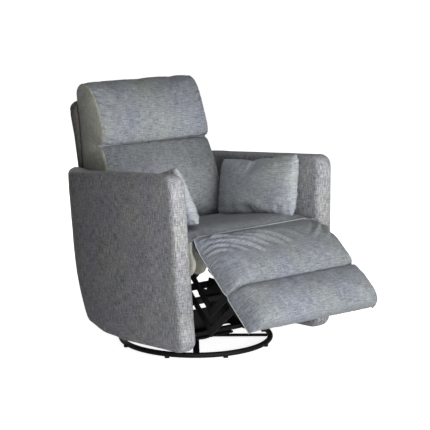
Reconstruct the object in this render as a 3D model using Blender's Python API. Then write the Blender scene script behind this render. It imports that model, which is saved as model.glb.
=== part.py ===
# Glider nursery chair: swivel base, hanging glider links, reclining back and
# a padded legrest on parallel links.  Metres, +Z up, the sitter faces -Y.
import bpy
import bmesh
import math
from mathutils import Vector
from mathutils.geometry import tessellate_polygon

# ---------------------------------------------------------------- dimensions
GAP = 0.0003            # between pieces that touch
SHIFT_Y = 0.15735         # swivel axis to the centre of the chair's length

# base
RING_R = 0.305          # centreline of the bent ring
TUBE_R = 0.011
FOOT_H = 0.005
FOOT_R = 0.010
FOOT_COUNT = 8
BASE_TURN = math.radians(7.5)
BAR_W = 0.026
BAR_T = 0.006
HUB_R = 0.062
RACE_R = 0.056
RACE_BORE = 0.016
RACE_T = 0.007
PLATE_HALF = 0.115
PLATE_T = 0.004

# glider
RAIL_Y = 0.080          # half distance of the two swivel rails
RAIL_H = 0.018
RAIL_W = 0.024
BRACKET_X = 0.170       # inner face of the upright bracket
STEEL_T = 0.004         # thickness of the links and plates
PIVOT_Y = 0.115
PIVOT_TOP_Z = 0.190
PIVOT_LOW_Z = 0.070
LINK_W = 0.022          # hangers
LEG_LINK_W = 0.028      # legrest arms and struts
STIFF_TOP_Z = 0.125     # top of the upright plate between the brackets
PIN_R = 0.005
HOLE_R = 0.0052

# carriage
TUBE_SQ = 0.025
TUBE_FRONT_Y = -0.180
TUBE_REAR_Y = 0.185
TUBE_Z = 0.2053         # underside of the front cross tube
TUBE_LOW_Z = 0.1503     # underside of the rear cross tube
MECH_X = 0.262          # inner face of the recliner side plates
ARM_IN = 0.318          # inner face of the arms at LEAN_Z
ARM_T = 0.077
ARM_CORNER = 0.160      # outer plan radius of the rear corners
ARM_REAR = 0.402
ARM_FRONT = -0.386
ARM_END_X = 0.316       # where the wrapped end stops beside the back
LEAN = 0.050            # how far the arms lean back, per metre of height
FLARE = 0.045           # and how far they open outwards
LEAN_Z = 0.400
RIM_FRONT_Z = 0.778
RIM_FALL = 0.124
ARM_LOW_Z = 0.059
TOP_NOSE = 0.052
ARM_ROUND = 0.020

# seat
SEAT_SLOPE = 0.1313
SEAT_Z = 0.447          # underside of the cushion at SEAT_Y
SEAT_Y = -0.262
SEAT_HALF = 0.305
SPRING_R = 0.002

# legrest
HINGE_Y = -0.372
HINGE_Z = 0.500
LEG_PITCH = math.radians(40.0)
BOARD_LOW = 0.010
BOARD_T = 0.012
BOARD_START = 0.085
BOARD_END = 0.432
BOARD_HALF = 0.298
LEG_HALF = 0.312
ROLL_R = 0.0262
ARM_A = (-0.225, 0.375)         # pivots of the legrest arms on the side plates
ARM_B = (-0.275, 0.415)
STRUT_A_S = 0.300               # pivots on the legrest brackets, along the board
STRUT_B_S = 0.240
STRUT_N = -0.020

# back
BACK_Y = 0.225
BACK_Z = 0.375
BACK_SLOPE = 0.200
BACK_T = 0.036
BACK_FOOT_Z = 0.330
BACK_TOP_Z = 0.950
BACK_REAR_Y = 0.341             # rear face of the board at BACK_FOOT_Z
PANEL_Y = 0.010                 # from the board's foot back to the lower rear panel
PANEL_T = 0.012
PANEL_LOW_Z = 0.140
BACK_HALF = 0.291
CUSHION_HALF = 0.287
HEAD_HALF = 0.277

COLOURS = {
    "fabric": ((0.36, 0.39, 0.41, 1.0), 0.0, 0.85),
    "steel": ((0.018, 0.018, 0.020, 1.0), 0.6, 0.42),
    "spring": ((0.30, 0.30, 0.31, 1.0), 0.9, 0.35),
    "wood": ((0.56, 0.42, 0.27, 1.0), 0.0, 0.6),
}


# ------------------------------------------------------------------- helpers
def clear_scene():
    for ob in list(bpy.data.objects):
        bpy.data.objects.remove(ob, do_unlink=True)


def material(name, kind):
    colour, metal, rough = COLOURS[kind]
    mat = bpy.data.materials.new(name)
    mat.use_nodes = True
    node = mat.node_tree.nodes["Principled BSDF"]
    node.inputs["Base Color"].default_value = colour
    node.inputs["Metallic"].default_value = metal
    node.inputs["Roughness"].default_value = rough
    mat.diffuse_color = colour
    return mat


def finish(name, bm, kind, origin=(0.0, 0.0, 0.0), smooth=False):
    """Close the mesh, put the object's origin on its joint and name it."""
    base = Vector(origin)
    for v in bm.verts:
        v.co -= base
    bmesh.ops.remove_doubles(bm, verts=bm.verts, dist=0.00002)
    bmesh.ops.recalc_face_normals(bm, faces=bm.faces)
    if bm.calc_volume(signed=True) < 0.0:
        bmesh.ops.reverse_faces(bm, faces=bm.faces)
    mesh = bpy.data.meshes.new(name)
    bm.to_mesh(mesh)
    bm.free()
    ob = bpy.data.objects.new(name, mesh)
    bpy.context.scene.collection.objects.link(ob)
    ob.location = base + Vector((0.0, SHIFT_Y, 0.0))
    mesh.materials.append(material(name, kind))
    for p in mesh.polygons:
        p.use_smooth = smooth
    return ob


def circle(cu, cv, r, count=24, start=0.0):
    step = 2.0 * math.pi / count
    return [(cu + r * math.cos(start + k * step), cv + r * math.sin(start + k * step))
            for k in range(count)]


def arc(cu, cv, r, a0, a1, count):
    """Points on an arc, angles in degrees."""
    out = []
    for k in range(count + 1):
        a = math.radians(a0 + (a1 - a0) * k / count)
        out.append((cu + r * math.cos(a), cv + r * math.sin(a)))
    return out


def prism_into(bm, frame, outline, t0, t1, holes=(), pins=()):
    """Flat plate with round holes, and pins that stand out of either side."""
    base, u_dir, v_dir, n_dir = frame

    def at(p, t):
        return base + u_dir * p[0] + v_dir * p[1] + n_dir * t

    def ring(pts, t):
        return [bm.verts.new(at(p, t)) for p in pts]

    def wall(a, b):
        for k in range(len(a)):
            m = (k + 1) % len(a)
            bm.faces.new((a[k], a[m], b[m], b[k]))

    sides = {t0: [outline], t1: [outline]}
    rings = {t0: [ring(outline, t0)], t1: [ring(outline, t1)]}
    wall(rings[t0][0], rings[t1][0])
    for u, v, r in holes:
        loop = circle(u, v, r)
        lo, hi = ring(loop, t0), ring(loop, t1)
        wall(lo, hi)
        for t, verts in ((t0, lo), (t1, hi)):
            sides[t].append(loop)
            rings[t].append(verts)
    for u, v, r, t_root, t_end in pins:
        loop = circle(u, v, r)
        lo, hi = ring(loop, t_root), ring(loop, t_end)
        wall(lo, hi)
        bm.faces.new(hi)
        sides[t_root].append(loop)
        rings[t_root].append(lo)
    for t in (t0, t1):
        verts = [v for r in rings[t] for v in r]
        loops = [[Vector((p[0], p[1], 0.0)) for p in loop] for loop in sides[t]]
        for tri in tessellate_polygon(loops):
            bm.faces.new([verts[i] for i in tri])


def side_frame(side):
    """Y-Z drawing plane, thickness outwards along X on the given side."""
    return (Vector((0, 0, 0)), Vector((0, 1, 0)), Vector((0, 0, 1)), Vector((side, 0, 0)))


def flat_frame():
    return (Vector((0, 0, 0)), Vector((1, 0, 0)), Vector((0, 1, 0)), Vector((0, 0, 1)))


def plate(name, side, outline, t0, t1, holes=(), pins=(), origin=(0, 0, 0), kind="steel"):
    bm = bmesh.new()
    prism_into(bm, side_frame(side), outline, t0, t1, holes, pins)
    return finish(name, bm, kind, origin)


def box(name, low, high, kind, bevel=0.0, origin=(0, 0, 0)):
    bm = bmesh.new()
    outline = [(low[0], low[1]), (high[0], low[1]), (high[0], high[1]), (low[0], high[1])]
    prism_into(bm, flat_frame(), outline, low[2], high[2])
    ob = finish(name, bm, kind, origin)
    if bevel:
        mod = ob.modifiers.new("edge", "BEVEL")
        mod.width = bevel
        mod.segments = 1
        mod.limit_method = "ANGLE"
    return ob


def lathe(name, profile, kind, count=48):
    """Closed ring from a radius and height outline."""
    bm = bmesh.new()
    rings = []
    for k in range(count):
        a = 2.0 * math.pi * k / count
        rings.append([bm.verts.new((r * math.cos(a), r * math.sin(a), z)) for r, z in profile])
    for k in range(count):
        a, b = rings[k], rings[(k + 1) % count]
        for j in range(len(profile)):
            m = (j + 1) % len(profile)
            bm.faces.new((a[j], a[m], b[m], b[j]))
    return finish(name, bm, kind, smooth=False)


def stadium(p, q, half, count=8):
    """Outline of a flat bar with round ends."""
    ang = math.degrees(math.atan2(q[1] - p[1], q[0] - p[0]))
    return (arc(q[0], q[1], half, ang - 90, ang + 90, count)
            + arc(p[0], p[1], half, ang + 90, ang + 270, count))


def loft(name, sections, kind, origin=(0, 0, 0), smooth=True):
    """Closed skin over sections with the same number of points."""
    bm = bmesh.new()
    rows = [[bm.verts.new(p) for p in s] for s in sections]
    count = len(rows[0])
    for a, b in zip(rows, rows[1:]):
        for j in range(count):
            m = (j + 1) % count
            bm.faces.new((a[j], a[m], b[m], b[j]))
    for row in (rows[0], rows[-1]):
        mid = bm.verts.new(sum((v.co for v in row), Vector()) / count)
        for j in range(count):
            bm.faces.new((row[j], row[(j + 1) % count], mid))
    return finish(name, bm, kind, origin, smooth)


def smoothstep(t):
    t = min(1.0, max(0.0, t))
    return t * t * (3.0 - 2.0 * t)


def resample(points, count):
    """Even points along a closed outline."""
    pts = [Vector(p) for p in points] + [Vector(points[0])]
    lens = [0.0]
    for a, b in zip(pts, pts[1:]):
        lens.append(lens[-1] + (b - a).length)
    out, j = [], 0
    for k in range(count):
        want = lens[-1] * k / count
        while lens[j + 1] < want:
            j += 1
        f = (want - lens[j]) / (lens[j + 1] - lens[j])
        out.append(pts[j].lerp(pts[j + 1], f))
    return out


def rounded(points, passes=2):
    """Corner cutting on a closed outline."""
    for _ in range(passes):
        out = []
        for k in range(len(points)):
            a, b = points[k], points[(k + 1) % len(points)]
            out.append((a[0] * 0.78 + b[0] * 0.22, a[1] * 0.78 + b[1] * 0.22))
            out.append((a[0] * 0.22 + b[0] * 0.78, a[1] * 0.22 + b[1] * 0.78))
        points = out
    return points


def cushion(name, profile, core, half, edge, origin=(0, 0, 0), crown=0.0, count=26):
    """Padded block: a side outline carried across X, drawn in at both ends."""
    outline = resample(rounded(profile), count)
    a, b = Vector(core[0]), Vector(core[1])
    along = (b - a).normalized()
    length = (b - a).length
    anchors = [a + along * min(length, max(0.0, (p - a).dot(along))) for p in outline]
    stations = []
    for f in (0.0, 0.10, 0.28, 0.55, 1.0):
        stations.append((half - edge * f, math.sqrt(max(0.0, 1.0 - (1.0 - f) ** 2)) * 0.9 + 0.1))
    inner = half - edge
    mid = [(inner * f, 1.0) for f in (0.6, 0.2)]
    rows = stations + mid
    rows = [(-x, s) for x, s in rows] + [(x, s) for x, s in reversed(rows)]
    sections = []
    for x, s in rows:
        lift = 1.0 + crown * (1.0 - (x / half) ** 2)
        row = []
        for p, c in zip(outline, anchors):
            q = c + (p - c) * (s * lift)
            row.append(Vector((x, q[0], q[1])))
        sections.append(row)
    return loft(name, sections, "fabric", origin)


# ---------------------------------------------------------------------- base
def build_base():
    ring_z = FOOT_H + TUBE_R
    bm = bmesh.new()
    count, tube = 72, 12
    rows = []
    for k in range(count):
        a = 2.0 * math.pi * k / count
        row = []
        for j in range(tube):
            t = 2.0 * math.pi * (j + 0.5) / tube
            r = RING_R + TUBE_R * math.cos(t)
            row.append(bm.verts.new((r * math.cos(a), r * math.sin(a), ring_z + TUBE_R * math.sin(t))))
        rows.append(row)
    for k in range(count):
        a, b = rows[k], rows[(k + 1) % count]
        for j in range(tube):
            m = (j + 1) % tube
            bm.faces.new((a[j], a[m], b[m], b[j]))
    ring = finish("base_ring", bm, "steel", smooth=True)

    feet = bmesh.new()
    step = 2.0 * math.pi / FOOT_COUNT
    for k in range(FOOT_COUNT):
        a = BASE_TURN + (k + 0.5) * step
        outline = circle(RING_R * math.cos(a), RING_R * math.sin(a), FOOT_R, 16)
        prism_into(feet, flat_frame(), outline, 0.0, FOOT_H + TUBE_R * 0.6)
    cutter = finish("ring_feet_form", feet, "steel")
    cutter.hide_render = True
    cutter.display_type = "WIRE"
    mod = ring.modifiers.new("feet", "BOOLEAN")
    mod.operation = "UNION"
    mod.solver = "EXACT"
    mod.object = cutter

    reach = RING_R - TUBE_R - GAP - 0.0006
    outline = []
    hub_step = math.asin(BAR_W / 2 / HUB_R)
    for k in range(4):
        a = BASE_TURN + math.radians(45.0) + k * math.pi / 2
        d = Vector((math.cos(a), math.sin(a)))
        n = Vector((-d[1], d[0]))
        outline.append(tuple(d * reach - n * (BAR_W / 2)))
        outline.append(tuple(d * reach + n * (BAR_W / 2)))
        first = math.degrees(a + hub_step)
        last = math.degrees(a + math.pi / 2 - hub_step)
        outline += arc(0, 0, HUB_R, first, last, 6)
    bm = bmesh.new()
    prism_into(bm, flat_frame(), outline, ring_z - BAR_T / 2, ring_z + BAR_T / 2)
    finish("base_cross", bm, "steel")
    return ring_z + BAR_T / 2


def race(name, z0):
    ch = 0.0012
    z1 = z0 + RACE_T
    profile = [(RACE_BORE, z0), (RACE_R - ch, z0), (RACE_R, z0 + ch), (RACE_R, z1 - ch),
               (RACE_R - ch, z1), (RACE_BORE, z1)]
    lathe(name, profile, "steel")
    return z1


def build_swivel(z0):
    z = race("race_upper", z0)
    z0 = z + GAP
    half, cr = PLATE_HALF, 0.020
    outline = []
    for cx, cy, a in ((1, -1, -90), (1, 1, 0), (-1, 1, 90), (-1, -1, 180)):
        outline += arc(cx * (half - cr), cy * (half - cr), cr, a, a + 90, 4)
    bm = bmesh.new()
    holes = [(0.0, 0.0, RACE_BORE)]
    holes += [(x, 0.0, 0.006) for x in (-0.075, 0.075)]
    prism_into(bm, flat_frame(), outline, z0, z0 + PLATE_T, holes)
    finish("swivel_plate", bm, "steel")
    z0 += PLATE_T + GAP
    for name, y in (("glider_rail_front", -RAIL_Y), ("glider_rail_rear", RAIL_Y)):
        box(name, (-BRACKET_X + GAP, y - RAIL_W / 2, z0),
            (BRACKET_X - GAP, y + RAIL_W / 2, z0 + RAIL_H), "steel", 0.002)
    half = STEEL_T / 2
    box("glider_stiffener", (-BRACKET_X + GAP, -half, z0), (BRACKET_X - GAP, half, STIFF_TOP_Z),
        "steel")
    return z0


def glider_side(side, tag, foot_z):
    lug = 0.017
    t0, t1 = BRACKET_X, BRACKET_X + STEEL_T
    outline = [(-0.140, foot_z), (0.140, foot_z), (0.146, foot_z + 0.022)]
    outline += arc(PIVOT_Y, PIVOT_TOP_Z, lug, 0, 90, 6)
    outline += arc(-PIVOT_Y, PIVOT_TOP_Z, lug, 90, 180, 6)
    outline += [(-0.146, foot_z + 0.022)]
    holes = [(y, PIVOT_TOP_Z, HOLE_R) for y in (-PIVOT_Y, PIVOT_Y)]
    plate("glider_bracket_" + tag, side, outline, t0, t1, holes)

    h0, h1 = t1 + GAP, t1 + GAP + STEEL_T
    for end, y in (("f", -PIVOT_Y), ("r", PIVOT_Y)):
        outline = stadium((y, PIVOT_TOP_Z), (y, PIVOT_LOW_Z), LINK_W / 2)
        pins = [(y, PIVOT_TOP_Z, PIN_R, h0, t0 - 0.003), (y, PIVOT_LOW_Z, PIN_R, h1, h1 + 0.0075)]
        plate("hanger_" + end + tag, side, outline, h0, h1, (), pins,
              (side * (h0 + h1) / 2, y, PIVOT_TOP_Z))

    r0 = h1 + GAP
    top = TUBE_Z - GAP
    low = 0.015
    rear_top = TUBE_LOW_Z - GAP
    outline = [(TUBE_FRONT_Y - 0.024, TUBE_Z - 0.030), (-0.150, 0.140)]
    outline += arc(-PIVOT_Y, PIVOT_LOW_Z, low, 180, 270, 6)
    outline += arc(PIVOT_Y, PIVOT_LOW_Z, low, 270, 360, 6)
    outline += [(TUBE_REAR_Y + 0.024, rear_top - 0.030), (TUBE_REAR_Y + 0.024, rear_top),
                (TUBE_REAR_Y - 0.030, rear_top), (TUBE_REAR_Y - 0.045, top),
                (TUBE_FRONT_Y - 0.024, top)]
    holes = [(y, PIVOT_LOW_Z, HOLE_R) for y in (-PIVOT_Y, PIVOT_Y)]
    plate("side_rail_" + tag, side, outline, r0, r0 + STEEL_T, holes)


# ------------------------------------------------------------------ carriage
def rim_z(y):
    return RIM_FRONT_Z - RIM_FALL * (y - ARM_FRONT - TOP_NOSE)


def arm_stations():
    """Plan stations: inner point, outer point, lower and upper height, inset."""
    out_x = ARM_IN + ARM_T
    cx, cy = out_x - ARM_CORNER, ARM_REAR - ARM_CORNER
    r_in = ARM_CORNER - ARM_T
    rows = []
    fronts = ((0.0, 0.020), (0.003, 0.011), (0.009, 0.004), (0.018, 0.0), (0.032, 0.0),
              (TOP_NOSE, 0.0))
    for d, inset in fronts:
        rows.append(((ARM_IN, ARM_FRONT + d), (out_x, ARM_FRONT + d), d, inset))
    for y in (-0.25, -0.10, 0.02, 0.09, 0.15, 0.19):
        rows.append(((ARM_IN, y), (out_x, y), 1.0, 0.0))
    in_end = math.acos((ARM_END_X - cx) / r_in)
    out_end = math.acos((ARM_END_X - cx) / ARM_CORNER)
    steps = 10
    for k in range(steps + 1):
        f = k / steps
        ai, ao = in_end * f, out_end * f
        inset = 0.012 if k == steps else (0.003 if k == steps - 1 else 0.0)
        rows.append(((cx + r_in * math.cos(ai), cy + r_in * math.sin(ai)),
                     (cx + ARM_CORNER * math.cos(ao), cy + ARM_CORNER * math.sin(ao)), 1.0, inset))
    return rows


def arm_low(length, y):
    """Lower edge: nearly level, then swept up round the rear corner."""
    z = ARM_LOW_Z + 0.196 * smoothstep((length - 0.198) / 0.132) + 0.150 * max(0.0, length)
    return z + 0.065 * max(0.0, 0.02 - y)


def arm_section(inner, outer, d, inset, length):
    y_mid = (inner[1] + outer[1]) / 2
    top = rim_z(y_mid)
    low = arm_low(length, y_mid)
    if d < TOP_NOSE:
        drop = TOP_NOSE * (1.0 - math.sqrt(1.0 - (1.0 - d / TOP_NOSE) ** 2))
        top -= drop
        low += drop * 0.85
    top -= inset * 0.4
    low += inset * 0.4
    span = math.hypot(outer[0] - inner[0], outer[1] - inner[1])
    lo_r, hi_r = 0.015, min(ARM_ROUND, span / 2 - inset - 0.002)
    lo_a, hi_a = inset, span - inset
    pts = arc(hi_a - lo_r, low + lo_r, lo_r, -90, 0, 2)
    pts += [(hi_a, low + (top - low) * 0.35), (hi_a, low + (top - low) * 0.7)]
    pts += arc(hi_a - hi_r, top - hi_r, hi_r, 0, 90, 4)
    pts += arc(lo_a + hi_r, top - hi_r, hi_r, 90, 180, 4)
    pts += [(lo_a, low + (top - low) * 0.7), (lo_a, low + (top - low) * 0.35)]
    pts += arc(lo_a + lo_r, low + lo_r, lo_r, 180, 270, 2)
    ux, uy = (outer[0] - inner[0]) / span, (outer[1] - inner[1]) / span
    out = []
    for a, z in pts:
        a += FLARE * (z - LEAN_Z)
        x, y = inner[0] + ux * a, inner[1] + uy * a
        out.append((x, y + LEAN * (z - LEAN_Z), z))
    return out


def build_arm(side, tag):
    rows = arm_stations()
    sections, length, last = [], 0.0, None
    for inner, outer, d, inset in rows:
        mid = Vector(outer)
        if last is not None and mid[1] > 0.02:
            length += (mid - last).length
        last = mid
        pts = arm_section(inner, outer, d, inset, length)
        sections.append([(side * x, y, z) for x, y, z in pts])
    loft("arm_" + tag, sections, "fabric")


def seat_floor(y):
    return SEAT_Z - SEAT_SLOPE * (y - SEAT_Y)


def spring_path(x, y0, y1):
    pts, wave, reach = [], 0.030, 0.020
    count = int(round((y1 - y0) / wave)) * 4
    for k in range(count + 1):
        y = y0 + (y1 - y0) * k / count
        swing = reach * math.sin(2 * math.pi * k / 4)
        z = seat_floor(y) - GAP - SPRING_R
        pts.append(Vector((x + swing, y, z)))
    return pts


def wire(name, path, r, kind, count=6):
    sections = []
    for k, p in enumerate(path):
        a = path[max(0, k - 1)]
        b = path[min(len(path) - 1, k + 1)]
        d = (b - a).normalized()
        side = d.cross(Vector((0, 0, 1))).normalized()
        up = side.cross(d).normalized()
        ring = []
        for j in range(count):
            t = 2 * math.pi * j / count
            ring.append(p + side * (r * math.cos(t)) + up * (r * math.sin(t)))
        sections.append(ring)
    return loft(name, sections, kind)


def build_seat():
    reach = MECH_X - GAP
    front = (-0.276, -0.240)
    rear = (0.128, 0.164)
    for name, (y0, y1) in (("seat_rail_front", front), ("seat_rail_rear", rear)):
        top = seat_floor(y1) - 2 * (SPRING_R + GAP)
        box(name, (-reach, y0, top - 0.032), (reach, y1, top), "wood", 0.002)
    for k, x in enumerate((-0.190, -0.063, 0.063, 0.190)):
        wire("seat_spring_%d" % (k + 1), spring_path(x, front[0] + 0.014, rear[1] - 0.006),
             SPRING_R, "spring")
    y0, y1 = -0.290, 0.190
    nose = HINGE_Y + ROLL_R + GAP
    profile = [(y0, seat_floor(y0) + 0.001), (-0.16, seat_floor(-0.16)), (0.05, seat_floor(0.05)),
               (y1, seat_floor(y1)), (y1 + 0.004, 0.440), (y1 - 0.020, 0.468), (0.10, 0.480),
               (0.0, 0.497), (-0.12, 0.520), (-0.22, 0.538), (-0.30, 0.545), (nose + 0.004, 0.535),
               (nose + 0.002, 0.500), (nose + 0.022, 0.470)]
    cushion("seat_cushion", profile, ((-0.26, 0.495), (0.12, 0.430)), SEAT_HALF, 0.045)


def build_mech(side, tag):
    t0, t1 = MECH_X, MECH_X + STEEL_T
    boss = 0.016
    z0 = TUBE_Z + TUBE_SQ + GAP
    rear = BACK_Y, BACK_Z
    z1 = TUBE_LOW_Z + TUBE_SQ + GAP
    outline = [(TUBE_FRONT_Y - 0.022, z0), (TUBE_REAR_Y - 0.060, z0 + 0.010),
               (TUBE_REAR_Y - 0.022, z1), (TUBE_REAR_Y + 0.022, z1),
               (BACK_Y + 0.025, z1 + 0.025), (BACK_Y + 0.030, BACK_Z - 0.020)]
    outline += arc(rear[0], rear[1], boss, 0, 110, 6)
    outline += [(-0.150, 0.410)]
    outline += arc(ARM_B[0], ARM_B[1], boss, 70, 215, 7)
    holes = [(ARM_A[0], ARM_A[1], HOLE_R), (ARM_B[0], ARM_B[1], HOLE_R),
             (rear[0], rear[1], HOLE_R)]
    plate("mech_plate_" + tag, side, outline, t0, t1, holes)


def build_rear_panel():
    """Padded panel below the back, carried by a ledge on the rear tube."""
    y0 = BACK_REAR_Y + PANEL_Y
    half, cr, low, top = ARM_END_X + 0.010, 0.050, PANEL_LOW_Z, BACK_FOOT_Z - 0.022
    bm = bmesh.new()
    tube_rear = TUBE_REAR_Y + TUBE_SQ / 2 + GAP
    frame = (Vector((0, 0, 0)), Vector((1, 0, 0)), Vector((0, 0, 1)), Vector((0, 1, 0)))
    outline = arc(-half + cr, low + cr, cr, 180, 270, 5) + arc(half - cr, low + cr, cr, 270, 360, 5)
    outline += [(half, top), (-half, top)]
    prism_into(bm, frame, outline, y0, y0 + PANEL_T)
    body = finish("rear_panel", bm, "fabric")
    ledge = bmesh.new()
    wide = half - 0.060
    outline = [(-wide, tube_rear), (wide, tube_rear), (wide, y0 + PANEL_T / 2),
               (-wide, y0 + PANEL_T / 2)]
    prism_into(ledge, flat_frame(), outline, TUBE_LOW_Z + 0.006,
               TUBE_LOW_Z + 0.018)
    form = finish("rear_ledge_form", ledge, "fabric")
    form.hide_render = True
    form.display_type = "WIRE"
    mod = body.modifiers.new("ledge", "BOOLEAN")
    mod.operation = "UNION"
    mod.solver = "EXACT"
    mod.object = form


def build_pillow(side, tag):
    cx, cy, cz = 0.250, -0.095, SEAT_Z + 0.1815
    half_l, half_h, half_t = 0.222, 0.118, 0.058
    tilt, slant = math.radians(11.0), 0.22
    nu, nv = 14, 8
    bm = bmesh.new()
    grid = {}
    for face in (1, -1):
        for i in range(nu + 1):
            for j in range(nv + 1):
                u, v = 2.0 * i / nu - 1.0, 2.0 * j / nv - 1.0
                rim = i in (0, nu) or j in (0, nv)
                if rim and face == -1:
                    grid[face, i, j] = grid[1, i, j]
                    continue
                puff = ((1 - u ** 4) * (1 - v ** 4)) ** 0.5 * half_t
                y = u * half_l * (1 - 0.04 * (1 - v * v) * abs(u) - 0.10 * u * u * v * v)
                z = v * half_h * (1 - 0.06 * (1 - u * u) * abs(v) - 0.14 * u * u * v * v)
                yy = y * math.cos(tilt) + z * math.sin(tilt)
                zz = -y * math.sin(tilt) + z * math.cos(tilt)
                x = cx + face * puff + slant * z
                grid[face, i, j] = bm.verts.new((side * x, cy + yy, cz + zz))
    for face in (1, -1):
        for i in range(nu):
            for j in range(nv):
                bm.faces.new((grid[face, i, j], grid[face, i + 1, j],
                              grid[face, i + 1, j + 1], grid[face, i, j + 1]))
    finish("pillow_" + tag, bm, "fabric", smooth=True)


def build_carriage():
    for name, y, z in (("cross_tube_front", TUBE_FRONT_Y, TUBE_Z),
                       ("cross_tube_rear", TUBE_REAR_Y, TUBE_LOW_Z)):
        reach = ARM_IN + FLARE * (z - LEAN_Z) - GAP
        box(name, (-reach, y - TUBE_SQ / 2, z), (reach, y + TUBE_SQ / 2, z + TUBE_SQ),
            "steel", 0.002)
    build_seat()
    build_rear_panel()
    for side, tag in ((-1, "r"), (1, "l")):
        build_mech(side, tag)
        build_arm(side, tag)
        build_pillow(side, tag)


# ------------------------------------------------------------------- legrest
def leg_point(s, n):
    """Legrest drawing plane (along the board, out of the board) to Y, Z."""
    c, d = math.cos(LEG_PITCH), math.sin(LEG_PITCH)
    return (HINGE_Y - c * s - d * n, HINGE_Z - d * s + c * n)


def leg_frame(side=1):
    c, d = math.cos(LEG_PITCH), math.sin(LEG_PITCH)
    return (Vector((0, HINGE_Y, HINGE_Z)), Vector((0, -c, -d)), Vector((0, -d, c)),
            Vector((side, 0, 0)))


def leg_prism(name, outline, t0, t1, kind, side=1, holes=(), pins=()):
    bm = bmesh.new()
    prism_into(bm, leg_frame(side), outline, t0, t1, holes, pins)
    return finish(name, bm, kind, (0, HINGE_Y, HINGE_Z))


def leg_cushion(name, profile, core, edge):
    pts = [leg_point(s, n) for s, n in profile]
    ends = [leg_point(s, n) for s, n in core]
    return cushion(name, pts, ends, LEG_HALF, edge, (0, HINGE_Y, HINGE_Z))


def build_legrest():
    top = BOARD_LOW + BOARD_T
    outline = [(BOARD_START, BOARD_LOW), (BOARD_END, BOARD_LOW), (BOARD_END, top),
               (BOARD_START, top)]
    leg_prism("legrest_board", outline, -BOARD_HALF, BOARD_HALF, "wood")
    base = top + GAP
    seam = 0.266
    upper = [(0.045, base), (0.10, base), (0.18, base), (seam - GAP, base), (seam - GAP, 0.060),
             (0.258, 0.092), (0.225, 0.103), (0.18, 0.100), (0.137, 0.091), (0.090, 0.078),
             (0.045, 0.058), (0.010, 0.030), (-0.010, 0.024), (-0.020, 0.010), (-0.010, -0.016),
             (0.012, -0.019), (0.034, 0.0)]
    leg_cushion("legrest_pad_upper", upper, ((0.0, 0.004), (0.22, 0.056)), 0.040)
    lower = [(seam, base), (0.35, base), (BOARD_END + 0.012, base), (0.455, 0.036),
             (0.462, 0.070), (0.452, 0.098), (0.416, 0.112), (0.35, 0.110), (0.292, 0.098),
             (seam, 0.060)]
    leg_cushion("legrest_pad_lower", lower, ((0.31, 0.060), (0.41, 0.062)), 0.040)
    t1 = MECH_X + STEEL_T + GAP
    t2 = t1 + STEEL_T + GAP
    t3 = t2 + STEEL_T + GAP
    for side, tag in ((-1, "r"), (1, "l")):
        n1 = BOARD_LOW - GAP
        outline = [(0.070, n1), (0.400, n1), (0.400, n1 - 0.012), (0.330, STRUT_N - 0.014),
                   (0.210, STRUT_N - 0.014), (0.090, n1 - 0.014)]
        pins = [(s, STRUT_N, PIN_R, t3, t2 + 0.0006) for s in (STRUT_A_S, STRUT_B_S)]
        leg_prism("legrest_bracket_" + tag, outline[::-1], t3, t3 + STEEL_T, "steel", side, (), pins)
        for key, pivot, s in (("a", ARM_A, STRUT_A_S), ("b", ARM_B, STRUT_B_S)):
            legrest_links(side, tag, key, pivot, leg_point(s, STRUT_N), t1, t2)
    half = t3 - GAP
    low, high = BOARD_LOW - 0.016, BOARD_LOW - GAP
    outline = [(0.372, low), (0.388, low), (0.388, high), (0.372, high)]
    leg_prism("legrest_cross_bar", outline, -half, half, "steel")


def legrest_links(side, tag, key, pivot, far, t1, t2):
    """Arm on the side plate and strut to the bracket, a parallelogram with the hinge."""
    elbow = (far[0] + pivot[0] - HINGE_Y, far[1] + pivot[1] - HINGE_Z)
    half = LEG_LINK_W / 2
    pins = [(pivot[0], pivot[1], PIN_R, t1, MECH_X + 0.0005)]
    holes = [(elbow[0], elbow[1], HOLE_R)]
    plate("leg_arm_%s_%s" % (key, tag), side, stadium(pivot, elbow, half), t1, t1 + STEEL_T,
          holes, pins, (side * (t1 + STEEL_T / 2), pivot[0], pivot[1]))
    pins = [(elbow[0], elbow[1], PIN_R, t2, t1 + 0.0006)]
    holes = [(far[0], far[1], HOLE_R)]
    plate("leg_strut_%s_%s" % (key, tag), side, stadium(elbow, far, half), t2, t2 + STEEL_T,
          holes, pins, (side * (t2 + STEEL_T / 2), elbow[0], elbow[1]))


# ---------------------------------------------------------------------- back
def board_front(z):
    return BACK_REAR_Y - BACK_T + BACK_SLOPE * (z - BACK_FOOT_Z)


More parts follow.
